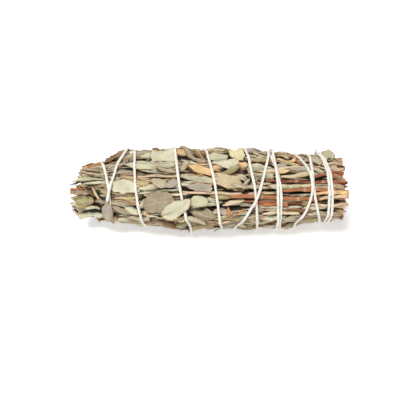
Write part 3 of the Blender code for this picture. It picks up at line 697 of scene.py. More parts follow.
def cut_end_stems(piece, middle):
    for aside, out in PACKED_STEMS:
        turn = middle + aside + same.uniform(-1.5, 1.5)
        end = same.uniform(99.5, 104.5)
        out += same.uniform(-0.15, 0.1)
        radius = same.uniform(0.95, 1.08)
        end += limits(turn)[1] - 104.1
        colour = TONES[chance.choice(BARKS)]
        cut = TONES[chance.choice(CUTS)]
        radius = radius * chance.uniform(0.62, 1.0)
        lay_stem(
            piece, (86.0, turn), (end, turn), radius, colour, cut, reach=(out - 0.3, out),
            side_cut=chance.uniform(-0.4, 0.4),
        )
    for _ in range(THIN_STEMS):
        out = chance.uniform(1.2, 9.6)
        turn = middle + chance.uniform(-30, 30)
        end = limits(turn)[1] - chance.uniform(-0.6, 4.5)
        colour = TONES[chance.choice((*BARKS, "brown"))]
        end_turn = turn + chance.uniform(-5, 5)
        radius = chance.uniform(0.35, 0.75)
        reach = (out, out + chance.uniform(-0.3, 0.6))
        lay_stem(piece, (88.0, turn), (end, end_turn), radius, colour, reach=reach)


def cut_end_leaves(piece, middle):
    for _ in range(CUT_LEAVES):
        out = chance.uniform(1.5, 10.4)
        turn = middle + chance.uniform(-32, 32)
        stalk_at = limits(turn)[1] - chance.uniform(-0.6, 4.0)
        heading = chance.uniform(-6, 6)
        width = chance.uniform(2.0, 4.2)
        section = chance.choice(("tube", "hook", "fold", "arch"))
        lay_leaf(
            piece, (stalk_at, turn), heading, 14.0, width, "torn", section, tilt=chance.uniform(-1.2, 1.2),
            reach=(out, out - 0.6), torn=0.5,
        )


def tip_leaves(piece, middle):
    start = same.uniform(0.4, 3.2)
    stem_turn = middle - 12.0
    lay_stem(
        piece, (14.0, stem_turn), (start + 2.6, stem_turn), 0.62, TONES["bark_grey"], TONES["brown"],
        reach=(2.9, 2.3),
    )
    tip = same.uniform(0.2, 1.6)
    for _ in range(TIP_LEAVES):
        out = chance.uniform(0.8, 6.5)
        tip_at = tip + chance.uniform(0, 5.0)
        turn = middle + chance.uniform(-30, 30)
        if abs((turn - TIP_HOLLOW + 180) % 360 - 180) < 34 and out > 3.4:
            continue
        stalk_at = chance.uniform(13, 18)
        heading = chance.uniform(-9, 9)
        length = stalk_at - limits(turn)[0] - tip_at * 0.7
        width = chance.uniform(3.0, 6.0)
        section = chance.choice(("trough", "arch", "fold", "roll"))
        lay_leaf(
            piece, (stalk_at, turn), heading, length, width, "leaf", section, tilt=chance.uniform(-0.7, 0.7),
            reach=(out + 0.6, out), wave=0.25,
        )


for number in range(HANDFULS):
    piece = pieces[f"inner_stems_{number + 1}"]
    handful_body(piece, SPAN * number)
    halfway = SPAN * (number + 0.5)
    cut_end_stems(piece, halfway + 9.0 * math.sin(4.0))
    cut_end_leaves(piece, halfway + 9.0 * math.sin(4.0))
    tip_leaves(piece, halfway + 9.0 * math.sin(4.0 / 22.0))
print("heart and inner stems:", sum(p.count for p in pieces.values()), "points")

# %% [markdown]
# Twenty leafy stems are laid round the heart. Their places and their leaves' sizes come from the same
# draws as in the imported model. Leaves are then laid from the tip towards the cut end, so that each covers
# the stalks of those before it, and between them many narrow folded strips: dry sage leaves roll up along
# their length, and toward the cut end these rolled leaves are nearly all that shows.

# %% Outer stems
SPRIGS = 20
sprigs = []
for order in range(SPRIGS):
    number = order * 7 % SPRIGS
    turn = 4.0 + 360.0 * number / SPRIGS + same.uniform(-2.0, 2.0)
    start = (9, 30, 17, 44)[number % 4] + same.uniform(-2.0, 2.0)
    end = same.uniform(100.5, 105.5)
    radius = 1.1 * same.uniform(0.85, 1.1)
    sway = same.uniform(1.0, 2.5)
    roots, root, side = [], start + 1.5, 1 if number % 2 else -1
    while root < 97.0:
        roots.append((root, side))
        root += 13.2 * same.uniform(0.75, 1.2)
        side = -side
    sprigs.append(
        {
            "name": f"sprig_{number + 1:02d}", "turn": turn, "start": start, "end": end, "sway": sway,
            "roots": roots, "radius": radius,
        }
    )


def sprig_turn(sprig, along):
    return sprig["turn"] + sprig["sway"] * np.sin(np.pi * 2.2 * (along / LENGTH) + sprig["sway"])


def nearest_sprig(along, turn):
    """The piece of the sprig that grows nearest to a place."""

    def gap(sprig):
        too_short = along < sprig["start"] - 14
        return abs((sprig_turn(sprig, along) - turn + 180) % 360 - 180) + (60 if too_short else 0)

    return pieces[min(sprigs, key=gap)["name"]]


for sprig in sprigs:
    colour = TONES[chance.choice(("bark", "bark_red", "bark_grey", "bark_pale"))]
    start = (sprig["start"], sprig_turn(sprig, sprig["start"]))
    end = (sprig["end"] + limits(sprig["turn"])[1] - 105.3, sprig_turn(sprig, sprig["end"]))
    rings = [root for root, _ in sprig["roots"]]
    lay_stem(pieces[sprig["name"]], start, end, sprig["radius"] * 0.74, colour, rings=rings)
print("over the stems:", surface.reach.mean(axis=1)[32::80].round(1))

# %% [markdown]
# Two kinds of leaf go all round. Those that grow on the outer stems are broad towards the tip and narrow
# towards the cut end. Between them go loose strips. All are sorted by how far along their stalks are, so
# the ones nearest the tip are covered by the next, like shingles. On the near side a hollow is left open
# at the tip, where the picture shows a dark hole among curled leaves.

# %% Leaves that grow on the outer stems
to_lay = []
leaves = [(root, side, sprig) for sprig in sprigs for root, side in sprig["roots"]]
for root, side, sprig in sorted(leaves, key=lambda leaf: leaf[0]):
    broad = 1 - smooth_step((root - 52) / 26)
    heading = side * same.uniform(4.0, 9.0) * 1.1
    length = min(same.uniform(15.5, 21.0), root - 0.6)
    width = same.uniform(5.4, 7.8) * broad + same.uniform(3.0, 4.6) * (1 - broad)
    length = min(length, root - limits(sprig["turn"])[0] - 0.8)
    bow = -side * same.uniform(0.0, 0.16) * 0.25
    same.uniform(size=2)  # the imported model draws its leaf's cup and ridge here
    section = chance.choice(("flat", "trough", "roll", "ridge"), p=(0.5, 0.15, 0.2, 0.15))
    base = (root, sprig_turn(sprig, root))
    to_lay.append((pieces[sprig["name"]], base, heading, length, width, "leaf", section, bow, 0.0))
print("leaves on the stems:", len(to_lay))

# %% [markdown]
# Strips fill what is between. Near the tip they are wide and few, and towards the cut end they are narrow
# and rolled. How often each kind of section and outline comes is an estimate from the side seen.

# %% Strips between them
STRIPS = 640
NARROW = {"arch": 0.28, "fold": 0.14, "ridge": 0.2, "trough": 0.14, "hook": 0.14, "tube": 0.1}
WIDE = {"flat": 0.4, "roll": 0.25, "trough": 0.15, "ridge": 0.2}
OUTLINES = {"leaf": 0.14, "strip": 0.52, "cut": 0.17, "torn": 0.17}


def one_of(shares):
    return chance.choice(tuple(shares), p=tuple(shares.values()))


for k in range(STRIPS):
    along = chance.uniform(12.0, 104.0)
    if along < 26 and k % 2:
        along += 50.0
    turn = chance.uniform(0, 360)
    along = min(along, limits(turn)[1] - chance.uniform(0.0, 2.5))
    share = smooth_step((along - 30) / 45)
    width = chance.uniform(2.2, 5.6) * (1 - share) + chance.uniform(1.1, 2.6) * share
    if chance.uniform() < 0.3:
        width *= 0.6
    if along < 26:
        width *= 1.5
    length = min(chance.uniform(15, 38), along - limits(turn)[0] - chance.uniform(0.3, 4.0))
    narrow = one_of(NARROW)
    section = narrow if width < 3.4 else one_of(WIDE)
    outline = "cut" if along > 96 else one_of(OUTLINES)
    heading = chance.normal(0, 3.2) * (1 if along > 30 else 1.4)
    bow = chance.uniform(-0.03, 0.03)
    tilt = chance.uniform(-0.45, 0.45)
    to_lay.append((None, (along, turn), heading, length, width, outline, section, bow, tilt))
print("leaves and strips:", len(to_lay))

# %% [markdown]
# All are laid in the order of their stalks, from the tip. Where the near side of the tip is hollow, they are
# cut short or left out.

# %% Lay them all round
HOLLOW_HALF = 30.0
to_lay.sort(key=lambda leaf: leaf[1][0])
for piece, base, heading, length, width, outline, section, bow, tilt in to_lay:
    if abs((base[1] - TIP_HOLLOW + 180) % 360 - 180) < HOLLOW_HALF and base[0] - length < 12:
        length = base[0] - chance.uniform(10.5, 13.0)
        if length < 5:
            continue
    torn = 0.9 if outline in ("cut", "torn") else 0.15
    if width < 4:
        form = {"tilt": tilt * 1.7, "curl": chance.uniform(0.9, 1.5), "wave": 0.12, "sink": 0.45}
    else:
        form = {"tilt": tilt * 0.4, "curl": 1.0, "wave": 0.3, "sink": 0.25}
    twist = chance.uniform(-0.5, 0.5) * (width < 4)
    lay_leaf(
        piece or nearest_sprig(*base), base, heading, length, width, outline, section, bow=bow, twist=twist,
        torn=torn, **form,
    )
print("over the leaves:", surface.reach.mean(axis=1)[32::80].round(1))
print("at most:", surface.reach.max(axis=1)[32::80].round(1))

# %% [markdown]
# The side towards the camera is laid leaf by leaf. Each row below is one leaf or one strip of leaf or bark:
# where its stalk and its tip are in the picture, how wide it is there in pixels, its outline, how it is
# curled, and its tone. Rows are in the order in which the pieces lie on each other.

# %% What shows on the side seen
SEEN = (
    # top edge and upper side, from the tip to the cut end
    (130, 155.0, 105, 161.5, 4.4, "strip", "ridge", "brown"),
    (128, 158.5, 105, 165.5, 3.6, "strip", "fold", "dusk"),
    (124, 163.0, 106, 169.0, 3.0, "strip", "ridge", "lilac"),
    (118, 161.5, 104, 167.5, 3.0, "strip", "arch", "grey"),
    (117, 166.0, 107, 171.5, 4.5, "leaf", "fold", "lilac"),
    (152, 156.5, 133, 161.0, 4.0, "strip", "ridge", "pale"),
    (158, 149.5, 135, 154.0, 3.6, "strip", "arch", "dusk"),
    (178, 148.2, 152, 150.5, 3.6, "strip", "ridge", "brown"),
    (173, 151.0, 139, 157.0, 3.6, "cut", "arch", "pale"),
    (179, 168.5, 120, 163.5, 10.5, "cut", "flat", "pale"),
    (177, 164.0, 128, 167.0, 8.0, "leaf", "ridge", "green"),
    (175, 153.5, 152, 157.5, 8.0, "torn", "flat", "pale"),
    (180, 162.0, 172, 172.0, 5.0, "torn", "fold", "grey"),
    (176, 171.0, 156, 166.5, 4.0, "strip", "hook", "dusk"),
    (133, 172.0, 120, 173.5, 5.0, "torn", "ridge", "bark_grey"),
    # tip
    (103, 163.0, 81.5, 169.2, 4.2, "torn", "roll", "rust", {"torn": 0.4}),
    (106, 167.0, 79, 172.5, 4.6, "leaf", "fold", "grey"),
    (108, 171.0, 83, 175.0, 4.2, "leaf", "ridge", "pale"),
    (103, 176.0, 70, 182.5, 5.4, "cut", "trough", "green"),
    (108, 177.5, 80, 184.5, 4.6, "leaf", "arch", "pale"),
    (86, 186.5, 74.5, 184.5, 7.0, "leaf", "tube", "moss"),
    (109, 198.0, 97, 181.5, 7.5, "leaf", "fold", "moss"),
    # between the string's crossing near the tip and its next turn
    (149, 185.0, 122, 180.5, 7.0, "torn", "flat", "olive"),
    (154, 178.0, 119, 178.4, 1.8, "strip", "ridge", "olive"),
    (140, 199.0, 112, 199.5, 6.0, "leaf", "ridge", "olive"),
    (141, 188.8, 102, 185.0, 13.0, "leaf", "flat", "pale", {"edge": 0.18, "stiff": 50}),
    (139, 207.5, 112, 202.5, 4.4, "strip", "arch", "dusk"),
    (137, 203.8, 113, 201.2, 1.8, "strip", "ridge", "brown"),
    (144, 223.5, 112, 209.0, 9.5, "leaf", "flat", "dusk"),
    (143, 216.5, 113.5, 204.5, 6.0, "leaf", "ridge", "pale"),
    (150, 222.0, 128, 219.0, 4.0, "strip", "arch", "grey"),
    (181, 186.0, 137, 188.5, 7.0, "cut", "flat", "pale"),
    (182, 190.5, 138, 193.5, 4.6, "strip", "ridge", "green"),
    (146, 199.0, 137, 213.0, 5.0, "leaf", "arch", "green"),
    (167, 186.0, 150, 178.5, 9.5, "leaf", "flat", "grey"),
    (179, 179.5, 165, 186.5, 8.0, "leaf", "flat", "lilac"),
    # under side of the left half
    (178, 227.5, 146, 222.5, 5.0, "strip", "ridge", "brown"),
    (166, 222.0, 146, 216.5, 5.0, "strip", "arch", "pale"),
    (186, 219.0, 160, 221.0, 5.5, "leaf", "fold", "straw"),
    (188, 214.5, 168, 224.0, 1.6, "strip", "ridge", "brown"),
    (203, 222.5, 176, 226.0, 4.6, "strip", "arch", "moss"),
    (214, 227.0, 188, 229.0, 4.0, "strip", "ridge", "olive"),
    (216, 217.0, 186, 212.0, 9.5, "leaf", "flat", "dusk"),
    (206, 221.5, 184, 217.0, 5.0, "leaf", "arch", "grey"),
    # upper middle
    (209, 160.0, 180, 148.0, 3.4, "strip", "ridge", "brown"),
    (206, 160.5, 180, 151.5, 3.2, "strip", "arch", "dusk"),
    (205, 166.0, 181, 158.0, 4.6, "strip", "ridge", "green"),
    (188, 161.0, 180, 168.0, 5.0, "torn", "flat", "grey"),
    (239, 163.5, 212, 160.5, 10.0, "leaf", "flat", "pale"),
    (226, 152.0, 204, 151.0, 4.6, "strip", "ridge", "grey"),
    (228, 156.0, 206, 155.0, 4.0, "strip", "arch", "green"),
    (246, 150.5, 222, 149.0, 3.6, "strip", "ridge", "dusk"),
    (240, 166.0, 215, 173.5, 4.6, "leaf", "hook", "olive"),
    (213.5, 172.0, 188, 164.5, 8.5, "leaf", "roll", "tan"),
    (206, 175.5, 194, 173.0, 3.6, "leaf", "trough", "tan"),
    (214, 180.5, 179, 175.5, 6.5, "cut", "flat", "green"),
    (215, 184.5, 181, 181.0, 3.8, "strip", "ridge", "pale"),
    (213, 188.5, 187, 186.5, 8.0, "leaf", "flat", "lilac"),
    # right of the middle
    (267, 152.5, 238, 154.0, 5.0, "strip", "ridge", "lilac"),
    (264, 158.0, 244, 161.0, 4.2, "strip", "arch", "green"),
    (268, 158.0, 248, 163.0, 3.6, "leaf", "hook", "moss"),
    (272, 166.5, 248, 168.5, 7.0, "torn", "flat", "pale"),
    (288, 167.0, 270, 160.0, 7.5, "leaf", "flat", "lilac"),
    (300, 162.5, 270, 156.0, 4.0, "strip", "ridge", "olive"),
    (292, 156.5, 268, 150.5, 4.0, "strip", "arch", "moss"),
    (304, 161.5, 287, 154.5, 3.2, "strip", "ridge", "bark_red"),
    (296, 158.5, 276, 158.0, 3.0, "strip", "ridge", "tan"),
    (246, 186.0, 213, 176.5, 14.0, "torn", "flat", "straw"),
    (290, 170.5, 250, 173.0, 4.0, "strip", "arch", "tan"),
    (274, 175.5, 250, 176.0, 6.5, "cut", "flat", "green"),
    (250, 181.0, 236, 174.0, 6.5, "leaf", "fold", "pale"),
    (258, 176.0, 249, 185.0, 5.0, "torn", "fold", "lilac"),
    (248, 187.0, 231, 181.0, 6.0, "torn", "trough", "grey"),
    (268, 188.0, 246, 186.5, 5.5, "leaf", "ridge", "grey"),
    (272, 183.5, 256, 181.0, 4.6, "leaf", "flat", "green"),
    (292, 188.0, 268, 186.0, 6.5, "leaf", "flat", "green"),
    # bark that shows on the right, and strips between
    (311, 172.0, 280, 176.5, 6.0, "cut", "arch", "straw"),
    (338, 161.5, 256, 172.5, 5.5, "strip", "ridge", "straw"),
    (320, 166.5, 290, 169.0, 5.0, "strip", "arch", "lilac"),
    (308, 187.5, 288, 187.5, 6.0, "torn", "flat", "green"),
    (315, 184.5, 300, 186.5, 4.4, "strip", "ridge", "straw"),
    (333, 187.5, 308, 188.0, 4.4, "strip", "arch", "pale"),
    (334, 176.5, 318, 180.0, 4.0, "strip", "fold", "green"),
    (330, 171.5, 312, 173.0, 5.0, "strip", "trough", "grey"),
    (325, 172.5, 312, 167.0, 6.0, "leaf", "fold", "pale"),
    (322, 158.5, 304, 163.5, 4.0, "strip", "hook", "straw"),
    (322, 155.0, 304, 158.5, 4.0, "strip", "arch", "lilac"),
    (318, 151.5, 300, 152.5, 3.4, "strip", "ridge", "brown"),
    (328, 163.0, 312, 160.5, 4.0, "torn", "fold", "olive"),
    # lower middle and lower right
    (218, 207.0, 190, 209.5, 4.0, "strip", "ridge", "pale"),
    (219, 202.5, 204, 199.5, 5.0, "leaf", "fold", "green"),
    (232, 197.5, 210, 196.5, 6.5, "leaf", "flat", "moss"),
    (245, 201.0, 222, 206.0, 5.5, "leaf", "arch", "straw"),
    (250, 214.0, 220, 216.5, 6.0, "leaf", "ridge", "green"),
    (232, 213.0, 212, 213.0, 4.6, "strip", "arch", "lilac"),
    (248, 221.0, 214, 218.0, 3.6, "strip", "ridge", "olive"),
    (262, 223.5, 222, 224.5, 4.4, "strip", "arch", "grey"),
    (246, 227.0, 214, 228.5, 4.0, "strip", "ridge", "green"),
    (229.5, 216.5, 228.0, 208.0, 3.8, "cut", "flat", "rust"),
    (245, 210.5, 230.0, 216.0, 1.6, "leaf", "ridge", "rust"),
    (258, 209.0, 240, 207.5, 4.6, "leaf", "arch", "grey"),
    (264, 212.0, 254, 210.0, 5.5, "torn", "fold", "dusk"),
    (284, 209.0, 258, 207.5, 4.6, "strip", "ridge", "pale"),
    (300, 215.0, 262, 214.5, 5.0, "strip", "arch", "straw"),
    (290, 220.0, 258, 220.0, 4.6, "strip", "ridge", "pale"),
    (310, 219.0, 284, 219.5, 4.4, "strip", "arch", "grey"),
    (314, 211.0, 282, 210.0, 5.0, "strip", "ridge", "green"),
    (328, 208.5, 302, 210.5, 4.6, "strip", "arch", "pale"),
    (338, 215.5, 306, 215.5, 4.6, "strip", "ridge", "grey"),
    (322, 220.5, 300, 223.0, 4.4, "strip", "arch", "olive"),
    (326, 204.5, 310, 201.5, 3.4, "torn", "fold", "bark_red"),
    (322, 200.0, 308, 203.5, 3.0, "torn", "ridge", "brown"),
    (328, 199.0, 316, 197.0, 3.0, "torn", "fold", "bark_red"),
    (318, 206.5, 306, 206.0, 3.0, "strip", "ridge", "rust"),
)


def lay_seen(row):
    x, y, tip_x, tip_y, wide, outline, section, colour = row[:8]
    more = dict(row[8]) if len(row) > 8 else {}
    base, tip = seen_at(x, y), seen_at(tip_x, tip_y)
    middle = outline_at((base[0] + tip[0]) / 2)
    ahead, arc = base[0] - tip[0], math.radians(tip[1] - base[1]) * middle
    facing = math.cos(math.radians((base[1] + tip[1]) / 2 - math.degrees(LOOKING_DOWN)))
    lengthwise = ahead**2 / (ahead**2 + arc**2)  # a leaf that lies across isn't seen narrowed
    width = wide * DISTANCE / pixels_deep * (1 + (1 / max(0.5, facing) - 1) * lengthwise)
    owner = more.pop("piece", None)
    piece = pieces[owner] if owner else nearest_sprig((base[0] + tip[0]) / 2, (base[1] + tip[1]) / 2)
    more.setdefault("torn", 0.7 if outline in ("cut", "torn") else 0.1)
    more.setdefault("wave", 0.1 if width < 2.4 else 0.22)
    more.setdefault("sink", 0.35 if section != "flat" else 0.1)
    lay_leaf(
        piece, base, math.degrees(math.atan2(arc, ahead)), math.hypot(ahead, arc), width, outline, section,
        colour=TONES[colour], **more,
    )


for row in SEEN:
    lay_seen(row)
print("laid from the picture:", len(SEEN))

# %% [markdown]
# Bare stems show on the right, one of them for most of the half, and a few thin twigs on the left. They
# are laid in the same way, as tubes.

# %% Stems that show
SEEN_STEMS = (
    # x, y of the thin end, x, y of the thick end, pixels thick, tone, x of its rings
    (119, 175.3, 178, 175.8, 2.8, "bark_pale", ()),
    (144, 196.5, 200, 193.2, 2.8, "straw", ()),
    (182, 192.2, 242, 194.2, 3.2, "bark_pale", (213,)),
    (267, 179.8, 346, 180.3, 4.2, "bark_red", (297, 324)),
    (310, 176.4, 345, 170.4, 4.4, "bark_red", ()),
    (283, 190.2, 336, 189.6, 4.6, "bark", (305,)),
    (231, 196.6, 316, 199.6, 5.2, "bark", (262, 298)),
    (246, 201.8, 303, 205.6, 3.8, "bark_red", (286,)),
    (258, 205.6, 288, 206.0, 3.2, "rust", ()),
    (284, 211.6, 312, 210.8, 2.8, "bark_red", ()),
    (296, 217.5, 330, 218.2, 3.2, "bark_grey", ()),
    (306, 207.0, 348, 206.0, 3.6, "bark_pale", ()),
    (312, 194.2, 349, 192.6, 4.4, "tan", ()),
    (320, 199.0, 349, 196.4, 4.2, "bark_pale", ()),
    (318, 213.5, 343, 214.8, 3.6, "bark_grey", ()),
    (318, 166.5, 345, 165.8, 3.6, "bark_pale", ()),
    (322, 162.8, 343, 159.4, 3.8, "bark_pale", ()),
)


def lay_seen_stem(row):
    x, y, end_x, end_y, thick, colour, rings = row
    start, end = seen_at(x, y), seen_at(end_x, end_y)
    owner = nearest_sprig((start[0] + end[0]) / 2, (start[1] + end[1]) / 2)
    radius = thick * 0.8 * DISTANCE / pixels_deep / 2
    cut = TONES["rust"] if colour != "straw" else TONES["bark_pale"]
    rings_at = [seen_at(ring, y)[0] for ring in rings]
    lay_stem(
        owner, start, end, radius, TONES[colour], cut, rings=rings_at, sink=0.3,
        side_cut=chance.uniform(-0.3, 0.3),
    )


for row in SEEN_STEMS:
    lay_seen_stem(row)
print("stems laid from the picture:", len(SEEN_STEMS))

# %% [markdown]
# The curled leaves and stem ends of the tip come next. One row is a near-black sheet, painted shade, laid
# in the shadowed hollow between them.

# %% Leaves and stems of the tip
SEEN_TIP = (
    (129, 154.8, 106, 160.5, 4.8, "strip", "ridge", "brown", {"rise": 0.5}),
    (128, 158.5, 106, 164.5, 3.4, "strip", "fold", "dusk"),
    (126, 162.0, 107, 168.0, 3.0, "strip", "ridge", "lilac"),
    (110, 170.5, 78.0, 173.8, 3.2, "leaf", "ridge", "dusk", {"rise": 0.4}),
    (108, 173.0, 79.5, 175.6, 3.0, "leaf", "ridge", "grey", {"rise": 0.3}),
    (108, 176.0, 77.5, 178.0, 3.2, "leaf", "arch", "grey", {"rise": 0.3}),
    (104, 178.5, 69.8, 182.6, 4.0, "leaf", "ridge", "green", {"rise": 0.3}),
    (109, 181.0, 81.0, 185.0, 3.8, "leaf", "ridge", "pale"),
    (110, 184.5, 88.0, 188.0, 3.4, "leaf", "fold", "dusk"),
    (103, 163.4, 81.5, 168.6, 4.4, "torn", "roll", "rust", {"torn": 0.3, "rise": 0.5}),
    # painted shade: a near-black sheet laid in the shadowed hollow at the tip
    (107, 208.5, 80, 204.0, 9.0, "strip", "trough", "hollow", {"sink": 0.3}),
)
TIP_STEMS = (
    (91, 192.8, 69.6, 192.0, 6.4, "bark_grey", ()),
    (82, 188.8, 70.5, 188.6, 2.6, "rust", ()),
    (103, 203.5, 84, 187.8, 5.4, "brown", ()),
)
for row in SEEN_TIP:
    lay_seen(row)
for row in TIP_STEMS:
    lay_seen_stem(row)
print("rows of the tip:", len(SEEN_TIP) + len(TIP_STEMS))

# %% [markdown]
# Last come the leaves that lie on top of all others. Some of them are pieces of their own in the packed
# model, and two of those lie at the back.

# %% Leaves on top
SEEN_ON_TOP = (
    (99, 201.0, 91.5, 186.5, 2.8, "strip", "ridge", "straw"),
    (110, 217.0, 79, 216.0, 3.0, "strip", "arch", "olive", {"rise": 0.9, "sink": 0.0, "edge": 0.05}),
    (108, 216.5, 73, 212.5, 3.0, "strip", "ridge", "moss", {"rise": 0.7, "sink": 0.0, "edge": 0.05}),
    (107, 214.5, 71.5, 209.5, 3.4, "strip", "fold", "pale", {"rise": 0.6, "sink": 0.1, "edge": 0.05}),
    (104, 212.0, 71.0, 207.5, 4.2, "strip", "arch", "dusk", {"rise": 0.3, "sink": 0.2, "edge": 0.05}),
    (100, 209.5, 69.5, 204.0, 4.4, "strip", "arch", "green", {"rise": 0.7, "sink": 0.0, "edge": 0.06}),
    (93.5, 201.8, 70.5, 199.6, 11.2, "leaf", "flat", "moss",
     {"piece": "loose_leaf_09", "rise": 0.8, "sink": 0.0}),
    (107, 204.8, 96.5, 201.0, 5.0, "torn", "arch", "dusk"),
    (174.5, 201.0, 143, 206.0, 21.0, "round", "flat", "dusk",
     {"piece": "loose_leaf_01", "wave": 0.2, "edge": 0.18, "stiff": 60}),
    (208, 203.0, 190.5, 201.0, 11.0, "round", "roll", "green",
     {"piece": "loose_leaf_06", "rise": 0.8, "edge": 0.05, "stiff": 50}),
    (214, 181.0, 180, 176.0, 5.6, "cut", "flat", "green", {"piece": "loose_leaf_05"}),
    (212, 188.0, 187, 186.5, 8.0, "cut", "flat", "lilac", {"piece": "loose_leaf_08", "torn": 0.3}),
    (213, 172.0, 187.5, 164.5, 7.5, "cut", "roll", "tan",
     {"piece": "loose_leaf_02", "torn": 0.3, "rise": 0.5}),
    (176, 155.0, 151, 157.0, 9.0, "torn", "flat", "pale", {"piece": "loose_leaf_07"}),
    (241, 183.0, 215, 178.5, 12.5, "torn", "flat", "felt_tan", {"piece": "loose_leaf_04", "torn": 1.4}),
    (250, 182.0, 237, 173.5, 6.5, "leaf", "fold", "pale"),
    (247, 187.5, 231, 184.5, 5.0, "leaf", "fold", "grey"),
    (250, 178.0, 243, 186.0, 4.0, "leaf", "arch", "lilac"),
    (242.5, 163.0, 228.5, 150.0, 12.0, "leaf", "flat", "gold_green",
     {"piece": "loose_leaf_03", "rise": 1.9, "edge": 0.05}),
    (314, 160.5, 329.0, 152.8, 12.0, "torn", "flat", "grey",
     {"piece": "loose_leaf_10", "rise": 3.0, "torn": 0.2}),
    (309, 204.5, 302.5, 204.5, 6.0, "torn", "flat", "moss"),
)
AT_BACK = (
    # piece, mm along and turn of its stalk, heading, length, width
    ("loose_leaf_11", (27.0, 200.0), 10.0, 14.0, 6.5),
    ("loose_leaf_12", (60.0, 172.0), -8.0, 15.0, 6.8),
)
for row in SEEN_ON_TOP:
    lay_seen(row)
for name, base, heading, length, width in AT_BACK:
    lay_leaf(pieces[name], base, heading, length, width, "leaf", "flat", wave=0.3, sink=0.1)
print("at most:", surface.reach.max(axis=1)[32::80].round(1))

# %% [markdown]
# So far the bunch is loose. Tying it draws the leaves together, and the string bites into them. Both are
# done to the whole bunch at once, by moving every point in or out: first so that the bunch is as thick as
# the model at every place, then along the string, where a smooth groove is pressed. Since all leaves
# above one spot are moved in the same proportion, none passes through another.

# %% Draw the bunch in
BULGES = (
    # mm more than the outline, mm along and mm wide, turn and degrees wide
    (2.4, 65.0, 6.0, 88.0, 16.0),
    (2.3, 17.0, 4.5, 120.0, 28.0),
    (1.1, 28.5, 5.0, 116.0, 26.0),
    (0.7, 39.0, 6.0, 104.0, 24.0),
)
loose = surface.reach
turns = np.arange(COLUMNS) * 360.0 / COLUMNS
wanted = read_off(OUTLINE, ROWS)[:, None] - 0.9
along_grid, turn_grid = ROWS[:, None], turns[None, :]
thicker = np.zeros_like(loose)
for more, along, wide, turn, degrees in BULGES:
    thicker += more * np.exp(-(((along_grid - along) / wide) ** 2) - ((turn_grid - turn) / degrees) ** 2)
end_share = smooth_step((along_grid - 96.5) / 3.5)  # the cut end is narrower at the top and below
thicker -= end_share * 2.0 * np.exp(-(((turn_grid - 100.0) / 42.0) ** 2))
thicker -= end_share * 1.5 * np.exp(-((((turn_grid + 180.0) % 360.0 - 130.0) / 40.0) ** 2))
drawn = np.clip((wanted + thicker) / softened(loose, 2.5, 9.0), 0.55, 1.3)
tight = Surface(loose * drawn)
tightness = Surface(drawn)
print("drawn in by a factor of", float(drawn.min().round(2)), "to", float(drawn.max().round(2)))

# %% [markdown]
# The string lies on the leaves and bridges the small hollows between them. Under the bunch it lies on the
# table.

# %% Where the string lies
STRING_RADIUS = 0.52
wound = np.arange(knots[0, 0], knots[-1, 0], 1.0)
string_at = string_along(wound)
laid = np.max([tight.read(string_at + shift, wound) for shift in (-0.6, -0.3, 0.0, 0.3, 0.6)], axis=0)
soft = np.exp(-0.5 * (np.arange(-24, 25) / 9.0) ** 2)
padded = np.pad(laid, 24, mode="edge")
string_reach = np.convolve(padded, soft / soft.sum(), mode="valid") + 0.05
for _ in range(40):
    padded = np.pad(string_reach, 1, mode="edge")
    string_reach = np.maximum(laid - 0.35, (padded[:-2] + padded[2:]) / 2)
below = np.clip(-np.sin(np.radians(wound)), 0.05, 1)
table_reach = (MIDDLE_LINE[2] - STRING_RADIUS) / below
resting = np.exp(-0.5 * (((wound % 360.0) - 270.0) / 17.0) ** 2) * (string_at > 34) * (string_at < 74)
string_reach = string_reach * (1 - resting) + table_reach * resting
string_reach = np.minimum(string_reach, table_reach)
print("the string lies", string_reach[::360].round(1), "mm out at each turn")

# %% [markdown]
# Where the string comes to a place that it has passed before, it lies on itself.

# %% The string over itself
crossed = Surface(np.zeros_like(loose))
lag = 40
bare_reach = string_reach.copy()
for i in range(len(wound)):
    under = max(float(crossed.read(string_at[i] + shift, wound[i])) for shift in (-0.55, 0.0, 0.55))
    if under > 0 and under + 1.0 > string_reach[i]:
        string_reach[i] = min(under + 1.0, table_reach[i])
    if i >= lag:
        j = i - lag
        for shift in np.arange(-0.5, 0.51, 0.25):
            crossed.raise_to(string_at[j] + np.array([shift]), wound[j : j + 1], bare_reach[j : j + 1])
for _ in range(14):
    padded = np.pad(string_reach, 1, mode="edge")
    string_reach = np.maximum(string_reach, (padded[:-2] + padded[2:]) / 2)
    string_reach = np.minimum(string_reach, table_reach)
each_step = np.hypot(np.diff(string_at), np.radians(1.0) * string_reach[1:])
print("string is", round(float(each_step.sum())), "mm long")

# %% [markdown]
# The groove is pressed under the string, and the table presses the underside flat.

# %% Press the groove
HEART = 5.0
ceiling = np.full(loose.shape, 99.0)
for shift in np.arange(-6.0, 6.01, STEP):
    rows = np.clip(np.round((string_at + shift - ROWS[0]) / STEP), 0, len(ROWS) - 1).astype(int)
    columns = np.round((wound % 360.0) / 360.0 * COLUMNS).astype(int) % COLUMNS
    np.minimum.at(ceiling, (rows, columns), bare_reach - 0.34 + 0.5 * max(0.0, abs(shift) - 0.7) ** 1.15)
ceiling = np.minimum(ceiling, (MIDDLE_LINE[2] - 0.06) / np.clip(-np.sin(np.radians(turns)), 0.02, 1)[None, :])
pressed = np.clip((ceiling - HEART) / (tight.reach - HEART), 0.2, 1.0)
pressed = Surface(np.minimum(softened(pressed, 0.35, 0.8), 1.0))
finished = Surface(HEART + (tight.reach - HEART) * pressed.reach)
# a blurred copy of the tied surface: how far a point lies under it sets how much shade is painted on it
shade_level = Surface(softened(finished.reach, 0.9, 2.6) + 0.06)


def tied(along, turn, reach):
    """Where a point laid on the loose bunch comes to lie once the bunch is tied."""
    reach = reach * tightness.read(along, turn)
    return np.where(reach > HEART, HEART + (reach - HEART) * pressed.read(along, turn), reach)


print("deepest groove:", round(float((tight.reach - finished.reach).max()), 2), "mm")

# %% [markdown]
# A few leaves lie over the string. They are laid last, on the tied bunch, and are not drawn in any more.

